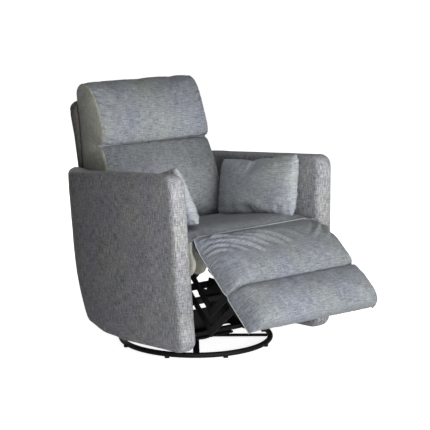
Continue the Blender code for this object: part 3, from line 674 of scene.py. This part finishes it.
def build_arm(side, tag):
    spots, on_band, gaps, faces, uvs = boxed(arm_chains(), ARM_T, 0.008, bulge=0.0035,
                                             reach=0.05, edge=0.0050, roll=0.0165)
    points = []
    for p, z, w in spots:
        (ox, oy), (ix, iy) = arm_plan(max(0.0, p))
        span = math.hypot(ix - ox, iy - oy)
        f = w / ARM_T - FLARE * (z - LEAN_Z) / span
        x, y = ox + (ix - ox) * f, oy + (iy - oy) * f
        if p < 0:
            y += p
        points.append((side * x, y + LEAN * (z - LEAN_Z) + SHIFT_Y, z))
    points = np.array(points)
    soft = lumps(points, 0.16, 3 + side) * 0.0016 + lumps(points, 0.05, 5 + side) * 0.0005
    crown = np.where(on_band, 0.0022 * (1 - np.exp(-np.maximum(0, gaps) / 0.016)), 0.0)
    points = push(points, faces, soft * np.clip(gaps / 0.02, 0, 1) + crown)
    points[:, 2] -= ARM_SETTLE * (1 + side) / 2
    return make_object("arm_cover_" + tag, points, faces, uvs, ARM_CLOTH, "carriage",
                       ("arm_" + tag,))


# --------------------------------------------------------------------- back
def board_front(z):
    """Front face of the sloping back board, at a height."""
    return BACK_REAR_Y - BACK_T + BACK_SLOPE * (z - BACK_FOOT_Z)


def across_chair(spots, half):
    """Stands a boxed piece's outline in the YZ plane, centred across the chair."""
    return np.stack([spots[:, 2] - half, spots[:, 0] + SHIFT_Y, spots[:, 1]], 1)


CHANNEL_Z = 0.7885        # sewn channel between the head and the lumbar roll
BACK_FRONT = [(0.205, 0.4525), (0.188, 0.470), (0.181, 0.510), (0.182, 0.555), (0.192, 0.620),
              (0.212, 0.685), (0.236, 0.738), (0.249, 0.765), (0.262, 0.781), (0.279, 0.7885),
              (0.264, 0.7965), (0.2545, 0.810), (0.2535, 0.835), (0.266, 0.880), (0.289, 0.935),
              (0.316, 0.985), (0.340, 1.014)]


def back_half(z):
    """Half width of the back cushion: a little narrower at the head."""
    return CUSHION_HALF - (CUSHION_HALF - HEAD_HALF) * smoothstep((z - 0.62) / 0.30)


def back_sag(x, z):
    """The cushion sits a little higher on the sitter's right."""
    return (-0.006 - 0.034 * x) * smoothstep((z - 0.46) / 0.30)


def back_gathers(x, z):
    """Short gathers down both side seams of the head roll."""
    gathers = np.zeros(len(x))
    for sign, tops in ((-1, (0.995, 0.972, 0.951, 0.925, 0.899, 0.874, 0.846, 0.822)),
                       (1, (0.985, 0.955, 0.930, 0.896, 0.861, 0.835))):
        for k, place in enumerate(tops):
            gathers += pucker(z, sign * x, place + 0.25 * (sign * x - 0.26), 0.262, 0.0075,
                              0.030 + 0.012 * math.sin(k * 2.1),
                              0.0020 + 0.0008 * math.sin(k * 1.3))
    for k in range(8):
        spot = -0.25 + 0.07 * k + 0.01 * math.sin(k * 3.1)
        gathers -= 0.0014 * np.exp(-((x - spot) / 0.010) ** 2) * np.exp(
            -((z - 0.789) / 0.020) ** 2)
    return gathers


def back_outline():
    """Low, far, top and near lines of the cushion's side, as (y, z)."""
    near = spline(BACK_FRONT, 0.0052)
    rear_low = (board_front(0.455) - 0.0006, 0.455)
    rear_top = (board_front(0.985) - 0.002, 0.985)
    far = even([rear_low, (board_front(0.955) - 0.0006, 0.955), rear_top], len(near))
    low = spline([BACK_FRONT[0], (0.250, 0.4505), rear_low], 0.010)
    top = spline([BACK_FRONT[-1], (0.366, 1.029), (0.394, 1.034), (0.418, 1.022),
                  (0.431, 1.002), rear_top], 0.0065)
    return low, far, even(top, len(low)), near


def build_back_cushion():
    """Head and lumbar rolls under one cover, with a sewn channel between them."""
    half = CUSHION_HALF
    spots, on_band, gaps, faces, uvs = boxed(back_outline(), 2 * half, 0.0075, bulge=0.006,
                                             reach=0.03)
    points = across_chair(spots, half)
    z = points[:, 2].copy()
    deep = np.clip((board_front(z) - points[:, 1] + SHIFT_Y) / 0.14, 0, 1)
    points[:, 0] *= back_half(z) / half * (1.012 - 0.050 * deep)
    x = points[:, 0]
    side = np.clip(gaps / 0.09, 0, 1)
    front = on_band & (points[:, 1] - SHIFT_Y < board_front(z) - 0.02)
    fill = np.where(front, 0.007 * (1 - (1 - side) ** 2.2) - 0.004, 0.0)
    soft = lumps(points, 0.13, 11) * 0.0030 + lumps(points, 0.045, 12) * 0.0009
    amount = fill + np.where(front, soft + back_gathers(x, z) * 2.6, 0.0)
    points = push(points, faces, amount)
    seam = gaps < 0.0032
    rear = points[:, 1] - SHIFT_Y > board_front(z) - 0.012
    channel = front & (np.abs(z - CHANNEL_Z) < 0.005)
    held = np.where(seam | rear | channel, 1.0, 0.02)
    points = relaxed(points, faces, held, pressure=2.2, grow=0.012, cap=0.012, stiff=20.0,
                     bend=0.2)
    points[:, 2] += back_sag(points[:, 0], points[:, 2])
    ob = make_object("back_cushion", points, faces, uvs, BACK_CLOTH, "back",
                     ("head_cushion", "lumbar_cushion"))
    # the cushion's sides take the lighter copy of the cloth, which is painted light
    ob.data.materials.append(LIT_SIDE_CLOTH)
    for polygon in ob.data.polygons:
        if not any(on_band[i] for i in polygon.vertices):
            polygon.material_index = 1


SHELL_CORNER = 0.045


def build_back_shell():
    """Padded outer back that carries the cushion."""
    half = BACK_HALF
    z0, z1 = BACK_FOOT_Z + 0.002, BACK_TOP_Z
    count = 60
    heights = [z0 + (z1 - z0) * k / (count - 1) for k in range(count)]
    front = [(board_front(z) + 0.0004, z) for z in heights]
    rear = [(y + BACK_T - 0.0006, z) for y, z in front]
    low = even([front[0], rear[0]], 6)
    top = even([front[-1], rear[-1]], 6)
    spots, _, _, faces, uvs = boxed((low, rear, top, front), 2 * half, 0.012,
                                    bulge=0.003, reach=0.02)
    points = across_chair(spots, half)
    over = np.clip((np.abs(points[:, 0]) - half + SHELL_CORNER) / SHELL_CORNER, 0, 1)
    high = smoothstep((points[:, 2] - z1 + 0.16) / 0.16)
    points[:, 2] -= SHELL_CORNER * (1 - np.sqrt(np.maximum(0, 1 - over ** 2))) * high
    points[:, 2] += back_sag(points[:, 0], points[:, 2])
    make_object("back_shell", points, faces, uvs, REAR_CLOTH, "back", ("back_board",))


# --------------------------------------------------------------------- seat
def seat_floor(y):
    """Underside of the sloping seat cushion."""
    return SEAT_Z - SEAT_SLOPE * (y - SEAT_Y)


PIPING_Y, PIPING_Z = -0.366, 0.5265


def build_seat():
    """Crowned foam seat under stretched cloth."""
    half = SEAT_HALF
    y0, y1 = -0.290, 0.190
    low = even([(y0, seat_floor(y0) + 0.0015), (y1, seat_floor(y1) + 0.0008)], 48)
    far = spline([low[-1], (0.195, 0.415), (0.192, 0.440), (0.172, 0.462)], 0.006)
    near = even(spline([low[0], (-0.318, 0.462), (-0.342, 0.490), (-0.3445, 0.512)], 0.005),
                len(far))
    top = spline([near[-1], (-0.352, 0.523), (-0.345, 0.533), (-0.30, 0.5435), (-0.22, 0.538),
                  (-0.12, 0.520), (0.0, 0.497), (0.10, 0.480), far[-1]], 0.010)
    top = even(top, len(low))
    spots, _, _, faces, uvs = boxed((low, far, top, near), 2 * half, 0.010,
                                    bulge=0.006, reach=0.03, roll=0.012)
    points = across_chair(spots, half)
    x, z = points[:, 0], points[:, 2]
    up = smoothstep((z - seat_floor(points[:, 1] - SHIFT_Y) - 0.02) / 0.05)
    side = np.clip((half - np.abs(x)) / 0.12, 0, 1)
    drop = -0.014 * (1 - side) ** 2
    soft = lumps(points, 0.12, 21) * 0.003
    points[:, 2] += (drop + soft) * up
    make_object("seat_cover", points, faces, uvs, SEAT_CLOTH, "carriage", ("seat_cushion",))


# ------------------------------------------------------------------ legrest
def leg_to_row(points):
    """From (across, down the board, out of the board) to the shared frame."""
    c, d = math.cos(LEG_PITCH), math.sin(LEG_PITCH)
    return np.stack([points[:, 0], HINGE_Y - c * points[:, 1] - d * points[:, 2] + SHIFT_Y,
                     HINGE_Z - d * points[:, 1] + c * points[:, 2]], 1)


CHAISE_STEP = 0.0044          # spacing of the cover's rows of points
CHAISE_CHANNEL = 0.2665       # sewn channel between the two pads
PAD_FLOOR = 0.0235            # where the pads lie on the board
# The cover's outer line, as (down the board, out of the board).
CHAISE_TOP = [(-0.0225, 0.020), (-0.006, 0.0295), (0.012, 0.0380), (0.045, 0.058), (0.090, 0.077),
              (0.137, 0.0905), (0.195, 0.0985), (0.235, 0.1015), (0.253, 0.097), (0.262, 0.086),
              (0.2665, 0.071), (0.271, 0.083), (0.281, 0.0935), (0.300, 0.100), (0.348, 0.1105),
              (0.400, 0.1125), (0.432, 0.107), (0.4525, 0.093), (0.4600, 0.071), (0.4555, 0.045),
              (0.4485, 0.030)]


def chaise_full(x):
    """How much of its full thickness the pad keeps at a place across.

    The side to the sitter's right is laid over softly, the other is fuller."""
    roll = np.where(x < 0, 0.082, 0.036)
    u = np.clip((np.abs(x) - LEG_HALF + roll) / roll, 0.0, 1.0)
    return (1.0 - u ** 2.2) ** 0.62


def fold(s, x, line, width, height):
    """A soft ridge along a bent line of (s, x) points, fading at both ends."""
    pts = spline(line, 0.008)
    best = np.full(len(s), 1e9)
    where = np.zeros(len(s))
    for k, (a, b) in enumerate(pts):
        d = np.hypot(s - a, x - b)
        near = d < best
        best[near] = d[near]
        where[near] = k / (len(pts) - 1)
    fade = np.sin(np.pi * np.clip(0.16 + 0.84 * where, 0, 1)) ** 0.6
    ridge = np.exp(-(best / width) ** 2) - 0.42 * np.exp(-((best - 1.75 * width)
                                                             / (0.6 * width)) ** 2)
    return height * fade * ridge


FOLD_WIDTH, FOLD_HEIGHT = 0.9, 2.9
CHAISE_FOLDS = (
    # bent line of (down the board, across), half width, height
    (((0.014, -0.298), (0.014, -0.262), (0.022, -0.200), (0.045, -0.135), (0.080, -0.080),
      (0.120, -0.045)), 0.0125, 0.0058),
    (((0.034, -0.302), (0.034, -0.268), (0.046, -0.215), (0.072, -0.160), (0.110, -0.115),
      (0.150, -0.085)), 0.0105, 0.0054),
    (((0.055, -0.304), (0.056, -0.272), (0.072, -0.228), (0.100, -0.188), (0.135, -0.155)),
     0.0080, 0.0030),
    (((0.080, -0.305), (0.082, -0.276), (0.100, -0.240), (0.128, -0.208)), 0.0075, 0.0016),
    (((0.004, -0.235), (0.010, -0.170), (0.030, -0.100), (0.065, -0.035), (0.110, 0.010),
      (0.150, 0.030)), 0.0140, 0.0056),
    (((0.002, -0.120), (0.018, -0.055), (0.050, 0.005), (0.095, 0.045), (0.130, 0.060)),
     0.0150, 0.0044),
    (((0.006, 0.020), (0.030, 0.070), (0.070, 0.110), (0.110, 0.130)), 0.0160, 0.0026),
    (((0.010, 0.290), (0.050, 0.262), (0.090, 0.215), (0.120, 0.170)), 0.0110, 0.0034),
    (((0.050, 0.296), (0.095, 0.272), (0.140, 0.235)), 0.0100, 0.0030),
)


def chaise_rise(x, s):
    """Lumps, folds and gathers of the cover at places across and down the board."""
    half = LEG_HALF
    soft = np.array([noise.noise(Vector((a / 0.12, b / 0.10, 4.2))) for a, b in zip(x, s)])
    fine = np.array([noise.noise(Vector((a / 0.045, b / 0.04, 8.1))) for a, b in zip(x, s)])
    rise = soft * 0.0045 + fine * 0.0010
    for line, width, height in CHAISE_FOLDS:
        rise = rise + fold(s, x, line, width * FOLD_WIDTH, height * FOLD_HEIGHT)
    for k in range(8):
        place = 0.075 + 0.052 * k + 0.011 * math.sin(k * 2.3)
        if 0.25 < place < 0.285:
            continue
        for sign in (-1, 1):
            rise = rise + pucker(s, sign * x, place + 0.004 * sign, half, 0.0045, 0.016,
                                 0.0030 + 0.0018 * math.sin(k * 1.7 + sign))
    for k in range(9):
        spot = -half + 0.03 + k * 0.075
        dent = np.exp(-((x - spot) / 0.012) ** 2) * np.exp(
            -((s - CHAISE_CHANNEL) / 0.022) ** 2)
        rise = rise - 0.0016 * dent
    return rise


def chaise_upper(line, xs):
    """The cover's outer face: a row of points across for each place on its line."""
    half = LEG_HALF
    s = np.repeat(line[:, 0], len(xs))
    n = np.repeat(line[:, 1], len(xs))
    x = np.tile(xs, len(line))
    full = chaise_full(x)
    base = np.minimum(n, PAD_FLOOR - 0.006 * smoothstep((s - 0.02) / 0.05))
    drawn_in = np.exp(-((s - CHAISE_CHANNEL) / 0.010) ** 2)
    x = x * (1 - 0.020 * drawn_in * smoothstep((np.abs(x) / half - 0.7) / 0.3))
    x = x * (1 - 0.060 * (1 - smoothstep((s + 0.0225) / 0.055)) ** 2)
    thick = base + (n - base) * full
    foot = smoothstep((s - 0.43) / 0.03)
    s = s - foot * (s - 0.435) * 0.55 * (1 - full)
    top = np.stack([x, s, thick], 1)
    inside = np.clip((half - np.abs(x)) / 0.016, 0, 1)
    top[:, 2] += chaise_rise(x, s) * inside ** 0.5 * smoothstep((n - 0.024) / 0.012)
    return top


def sewn_shut(top, line, cols):
    """Adds the cover's underside and its two ends; returns points, faces and map."""
    rows, line_run = len(line), run_along(line)
    across = laid_out(top.reshape(rows, cols, 3))[1]
    faces, uvs = [], []
    for r in range(rows - 1):
        for c in range(cols - 1):
            quad = [r * cols + c, r * cols + c + 1, (r + 1) * cols + c + 1, (r + 1) * cols + c]
            faces.append(quad)
            uvs.append([(across[i // cols, i % cols], -line_run[i // cols]) for i in quad])
    under_n = PAD_FLOOR - 0.0006
    under = [(-0.018, 0.008), (-0.010, -0.006), (0.005, -0.010), (0.022, -0.004),
             (0.038, 0.010), (0.048, under_n)]
    under += [(v, under_n) for v in np.linspace(0.08, 0.43, 12)]
    extra = [(a, s0, n0) for s0, n0 in under for a in top[:cols, 0]]
    total = np.vstack([top, np.array(extra)])
    first = [0] + [(rows + k) * cols for k in range(len(under))] + [(rows - 1) * cols]
    for a, b in zip(first, first[1:]):
        for c in range(cols - 1):
            quad = (a + c, b + c, b + c + 1, a + c + 1)
            faces.append(quad)
            uvs.append([tuple(total[i][:2]) for i in quad])
    for c in (0, cols - 1):
        ring = [r * cols + c for r in range(rows)] + [f + c for f in reversed(first[1:-1])]
        middle = len(total)
        total = np.vstack([total, total[ring].mean(0)[None]])
        for k in range(len(ring)):
            tri = (ring[k], ring[(k + 1) % len(ring)], middle)
            faces.append(tri)
            uvs.append([tuple(total[i][1:]) for i in tri])
    return total, faces, uvs


def build_chaise():
    """One sewn cover over the legrest, from the seat's piping to the foot."""
    line = spline(CHAISE_TOP, CHAISE_STEP)
    flat = np.linspace(0, 0.80, 52)
    turn = 0.80 + 0.20 * np.sin(np.linspace(0, math.pi / 2, 20))[1:]
    right = LEG_HALF * np.concatenate([flat, turn])
    xs = np.concatenate([-right[::-1], right[1:]])
    cols, rows = len(xs), len(line)
    total, faces, uvs = sewn_shut(chaise_upper(line, xs), line, cols)

    edge = np.abs(np.abs(total[:, 0]) - LEG_HALF) < 0.004
    hidden = np.arange(len(total)) >= rows * cols
    channel = np.abs(total[:, 1] - CHAISE_CHANNEL) < 0.004
    ends = (total[:, 1] < -0.012) | (total[:, 1] > 0.452)
    held = np.where(edge | hidden | channel | ends, 1.0, 0.02)
    total = relaxed(total, faces, held, pressure=1.8, grow=0.022, cap=0.014, stiff=20.0,
                    bend=0.2)
    cover = make_object("chaise_cover", leg_to_row(total), faces, uvs, SEAT_CLOTH, None,
                        ("legrest_pad_upper", "legrest_pad_lower"))
    bend_with_legrest(cover)
    for side, tag, c in ((-1, "r", 0), (1, "l", cols - 1)):
        edge_line = total[c:rows * cols:cols][2:-1] + np.array([side * 0.0008, 0, 0])
        bend_with_legrest(welt("chaise_welt_" + tag, leg_to_row(edge_line), WELT_R))


def bend_with_legrest(ob):
    """Bakes a piece's placement into its mesh."""
    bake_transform(ob)


# ------------------------------------------------------------------ pillows
PILLOW_L, PILLOW_H, PILLOW_T = 0.232, 0.124, 0.040      # half sizes
PILLOWS = {
    # side: middle across, along, height above the seat, lean, pitch, size, rumple
    1: (0.248, -0.095, 0.172, 0.24, 11.0, 1.0, 0.0030),
    -1: (0.256, -0.093, 0.178, 0.27, 15.0, 0.94, 0.0100),
}


def pillow_creases(local, half_l, half_h, side, rumple):
    """Gathers along the four seams and a rumpled ear at the lower front."""
    along, up = local[:, 1] / half_l, local[:, 2] / half_h
    crease = np.zeros(len(local))
    for k in range(9):
        spot = -0.86 + 0.215 * k + 0.05 * math.sin(2.3 * k)
        reach = 0.26 + 0.10 * math.sin(1.9 * k + 1)
        crease += pucker(up, along, spot, -0.84, 0.062, reach, 0.0042)
        crease += pucker(up, -along, spot + 0.06, -0.88, 0.062, reach, 0.0030)
    for k in range(11):
        spot = -0.9 + 0.18 * k + 0.04 * math.sin(2.9 * k)
        crease += pucker(along, up, spot, -0.92, 0.034, 0.30, 0.0024)
        crease += pucker(along, -up, spot + 0.05, -0.92, 0.034, 0.30, 0.0024)
    ear = np.exp(-((along + 0.92) / 0.34) ** 2 - ((up + 0.80) / 0.50) ** 2)
    ruffle = np.array([1 - 2.4 * abs(noise.noise(Vector((a * 46 + b * 22, b * 30 - a * 12,
                                                         3.0 * side)))) for _, a, b in local])
    crease += rumple * ear * ruffle
    return crease + lumps(local, 0.07, 31 + side) * 0.0030


def build_pillow(side, tag):
    """A knife-edge cushion: two panels sewn all round, filled and creased."""
    cx, cy, cz, slant, pitch, size, rumple = PILLOWS[side]
    half_l, half_h, half_t = PILLOW_L * size, PILLOW_H * size, PILLOW_T * size
    nu, nv = 84, 48
    us = np.linspace(-1, 1, nu + 1)
    vs = np.linspace(-1, 1, nv + 1)
    local, index = [], {}
    for face in (1, -1):
        for i, u in enumerate(us):
            for j, v in enumerate(vs):
                if face == -1 and (i in (0, nu) or j in (0, nv)):
                    index[face, i, j] = index[1, i, j]
                    continue
                puff = ((1 - u ** 4) * (1 - v ** 4)) ** 0.5 * half_t
                pull = 1 - 0.015 * (1 - v * v) * abs(u) ** 3 - 0.05 * (u * v) ** 4
                sink = 1 - 0.02 * (1 - u * u) * abs(v) ** 3 - 0.05 * (u * v) ** 4
                index[face, i, j] = len(local)
                local.append((face * puff, u * half_l * pull, v * half_h * sink))
    quads = [(face, [(i, j), (i + 1, j), (i + 1, j + 1), (i, j + 1)])
             for face in (1, -1) for i in range(nu) for j in range(nv)]
    faces = [[index[face, a, b] for a, b in quad] for face, quad in quads]
    local = relaxed(np.array(local), faces, np.zeros(len(local)), pressure=3.6, grow=0.030,
                    cap=0.045, stiff=22.0, bend=0.10)
    local -= local.mean(0)
    crease = pillow_creases(local, half_l, half_h, side, rumple)
    fullness = np.clip(np.abs(local[:, 0]) / half_t, 0, 1) ** 0.5
    local[:, 0] += np.sign(local[:, 0]) * crease * fullness
    grid = np.array([[local[index[1, i, j]] for j in range(nv + 1)] for i in range(nu + 1)])
    long_way, short_way = laid_out(grid)
    uvs = [[(long_way[a, b], short_way[a, b]) for a, b in quad] for face, quad in quads]
    tilt = math.radians(pitch)
    y = local[:, 1] * math.cos(tilt) + local[:, 2] * math.sin(tilt)
    z = -local[:, 1] * math.sin(tilt) + local[:, 2] * math.cos(tilt)
    x = cx + local[:, 0] + slant * z
    points = np.stack([side * x, cy + y + SHIFT_Y, SEAT_Z + cz + z], 1)
    make_object("throw_pillow_" + tag, points, faces, uvs, PILLOW_CLOTH, "carriage",
                ("pillow_" + tag,))


# ------------------------------------------------------------------ seat box
BOX_FRONT_Y, BOX_REAR_Y, BOX_TOP_Z = -0.350, -0.060, 0.512
BOX_PANEL_T = 0.013


def side_panel(name, side, inner_x, low_z):
    """Cloth panel down the side of the seat box, rounded at its lower front."""
    y0, y1, z1 = BOX_FRONT_Y, BOX_REAR_Y, BOX_TOP_Z
    front = spline([(y0, z1), (y0 - 0.002, 0.468), (y0 - 0.021, 0.440), (y0 - 0.023, 0.412),
                    (y0 - 0.006, 0.384), (y0 + 0.028, low_z)], 0.004)
    low = even([tuple(front[-1]), (y1, low_z)], 34)
    top = even([(y0, z1), (y1, z1)], 34)
    near = even(front[::-1], 26)
    far = even([low[-1], top[-1]], 26)
    spots, _, _, faces, uvs = boxed((low, far, top, near), BOX_PANEL_T, 0.004,
                                    bulge=0.002, reach=0.02, roll=0.004, edge=0.002)
    points = np.stack([side * (inner_x + spots[:, 2]), spots[:, 0] + SHIFT_Y, spots[:, 1]], 1)
    # the panel's very light cloth is painted light
    make_object(name, points, faces, uvs, LIT_BOX_CLOTH, "carriage")


def build_seat_box(side, tag):
    """The outer panel beside the recliner's plates and the one inside them."""
    side_panel("seat_side_" + tag, side, 0.2865, 0.364)
    side_panel("seat_box_" + tag, side, 0.2320, 0.368)


# ---------------------------------------------------------------- rear panel
def build_rear_apron():
    """Cloth apron across the lower rear, its corners cut up to meet the arms."""
    y0 = BACK_REAR_Y + 0.010 + SHIFT_Y
    half, low, top, thick = ARM_END_X + 0.002, 0.142, BACK_FOOT_Z - 0.006, 0.014
    xs = np.linspace(-half, half, 60)
    bottom = [(x, low + 0.045 * max(0.0, (abs(x) - half + 0.05) / 0.05) ** 2.2) for x in xs]
    upper = [(x, top) for x in xs]
    near = even([bottom[0], upper[0]], 22)
    far = even([bottom[-1], upper[-1]], 22)
    spots, _, _, faces, uvs = boxed((bottom, far, upper, near), thick, 0.004,
                                    bulge=0.003, reach=0.03, roll=0.004, edge=0.002)
    points = np.stack([spots[:, 0], y0 + spots[:, 2], spots[:, 1]], 1)
    make_object("rear_apron", points, faces, uvs, REAR_CLOTH, "carriage", ("rear_panel",))


# ------------------------------------------------------------------- piping
def build_piping():
    """Piping across the front of the seat, turned down at both ends."""
    path = []
    for x in np.linspace(-0.303, 0.303, 90):
        over = max(0.0, (abs(x) - 0.262) / 0.05)
        path.append((x, PIPING_Y + 0.004 * over ** 2 + SHIFT_Y,
                     PIPING_Z + 0.0045 - 0.020 * over ** 2))
    welt("seat_piping", path, PIPING_R, "carriage")


# ---------------------------------------------------------------- hard parts
def finish_of(name):
    if name.startswith("seat_spring"):
        return WIRE
    if name.startswith("seat_rail"):
        return FRAME_WOOD
    return DUST_COVER if name == "legrest_board" else BLACK_STEEL


def finish_frame():
    """Materials and softened edges on the frame's own pieces."""
    for name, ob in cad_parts.items():
        mat = finish_of(name)
        ob.data.materials.clear()
        ob.data.materials.append(mat)
        if mat is not WIRE and name != "base_ring":
            bevel = ob.modifiers.new("edge", "BEVEL")
            bevel.width = 0.0006
            bevel.segments = 2
            bevel.limit_method = "ANGLE"
            bevel.angle_limit = math.radians(50)


# -------------------------------------------------------------------- studio
ROOM_LIGHT = 0.04
FLOOR_SIZE = 30.0
FLOOR_GLOW, GLOW_NEAR, GLOW_FAR = 0.84, 0.9, 2.2
LAMPS = (
    # name, place, size, watts
    ("key", (-0.95, -3.5, 1.0), 2.0, 42.0),
    ("straight_front", (0.0, -3.4, 0.7), 1.6, 22.0),
    ("low_left", (-1.2, -2.6, 0.6), 0.8, 21.0),
    ("near_left", (-1.6, -1.9, 0.8), 0.8, 6.5),
    ("low_right", (1.0, -3.2, 0.6), 1.0, 32.0),
    ("top_light", (-0.5, -1.5, 3.0), 1.5, 27.0),
    ("rear_fill", (0.6, 3.8, 1.8), 2.4, 50.0),
)
LAMP_AIM = Vector((0.0, 0.0, 0.5))


def white_room():
    """White to the camera, but only a faint light on the chair."""
    world = bpy.data.worlds.new("studio")
    bpy.context.scene.world = world
    world.use_nodes = True
    world.node_tree.nodes.clear()
    t = Tree(world.node_tree)
    mixer = t.node("ShaderNodeMixShader")
    t.link(t.node("ShaderNodeLightPath").outputs["Is Camera Ray"], mixer.inputs[0])
    for socket, strength in ((1, ROOM_LIGHT), (2, 1.0)):
        light = t.node("ShaderNodeBackground")
        light.inputs["Color"].default_value = (1, 1, 1, 1)
        light.inputs["Strength"].default_value = strength
        t.link(light.outputs[0], mixer.inputs[socket])
    t.link(mixer.outputs[0], t.node("ShaderNodeOutputWorld").inputs[0])


def pale_floor():
    """Plain floor that keeps the shadow and glows to the camera only."""
    size = FLOOR_SIZE
    mesh = bpy.data.meshes.new("floor")
    mesh.from_pydata([(-size, -size, 0), (size, -size, 0), (size, size, 0), (-size, size, 0)], [],
                     [(0, 1, 2, 3)])
    floor = bpy.data.objects.new("floor", mesh)
    bpy.context.scene.collection.objects.link(floor)
    mat = bpy.data.materials.new("pale_floor")
    mat.use_nodes = True
    shader = mat.node_tree.nodes["Principled BSDF"]
    shader.inputs["Base Color"].default_value = (0.92, 0.92, 0.92, 1)
    shader.inputs["Roughness"].default_value = 0.9
    shader.inputs["Specular IOR Level"].default_value = 0.0
    t = Tree(mat.node_tree)
    reach = t.node("ShaderNodeVectorMath", operation="LENGTH")
    t.link(t.node("ShaderNodeTexCoord").outputs["Object"], reach.inputs[0])
    glow = t.node("ShaderNodeEmission")
    t.link(t.ramp(reach.outputs["Value"], GLOW_NEAR, GLOW_FAR, FLOOR_GLOW, 1.0, "SMOOTHSTEP"),
           glow.inputs["Strength"])
    dark = t.node("ShaderNodeEmission")
    dark.inputs["Strength"].default_value = 0.0
    pick = t.node("ShaderNodeMixShader")
    t.link(t.node("ShaderNodeLightPath").outputs["Is Camera Ray"], pick.inputs[0])
    t.link(dark.outputs[0], pick.inputs[1])
    t.link(glow.outputs[0], pick.inputs[2])
    both = t.node("ShaderNodeAddShader")
    t.link(pick.outputs[0], both.inputs[0])
    t.link(shader.outputs[0], both.inputs[1])
    t.link(both.outputs[0], mat.node_tree.nodes["Material Output"].inputs["Surface"])
    mesh.materials.append(mat)


def softbox(name, place, size, watts):
    data = bpy.data.lights.new(name, "AREA")
    data.energy = watts
    data.shape = "SQUARE"
    data.size = size
    ob = bpy.data.objects.new(name, data)
    bpy.context.scene.collection.objects.link(ob)
    ob.location = place
    ob.rotation_euler = (LAMP_AIM - Vector(place)).to_track_quat("-Z", "Y").to_euler()


def place_camera():
    data = bpy.data.cameras.new("camera")
    data.sensor_width = 36.0
    data.lens = 198.48
    data.clip_end = 100.0
    camera = bpy.data.objects.new("camera", data)
    bpy.context.scene.collection.objects.link(camera)
    camera.location = (-5.774, -7.381 + SHIFT_Y, 2.548)
    camera.rotation_euler = (math.radians(90 - 12.219), 0.0, math.radians(-38.518))
    bpy.context.scene.camera = camera


def build_studio():
    bpy.context.scene.view_settings.view_transform = "Standard"
    white_room()
    pale_floor()
    for lamp in LAMPS:
        softbox(*lamp)
    place_camera()


finish_frame()
for side, tag in ((-1, "r"), (1, "l")):
    build_arm(side, tag)
    build_pillow(side, tag)
    build_seat_box(side, tag)
build_back_cushion()
build_back_shell()
build_seat()
build_chaise()
build_rear_apron()
build_piping()
build_studio()
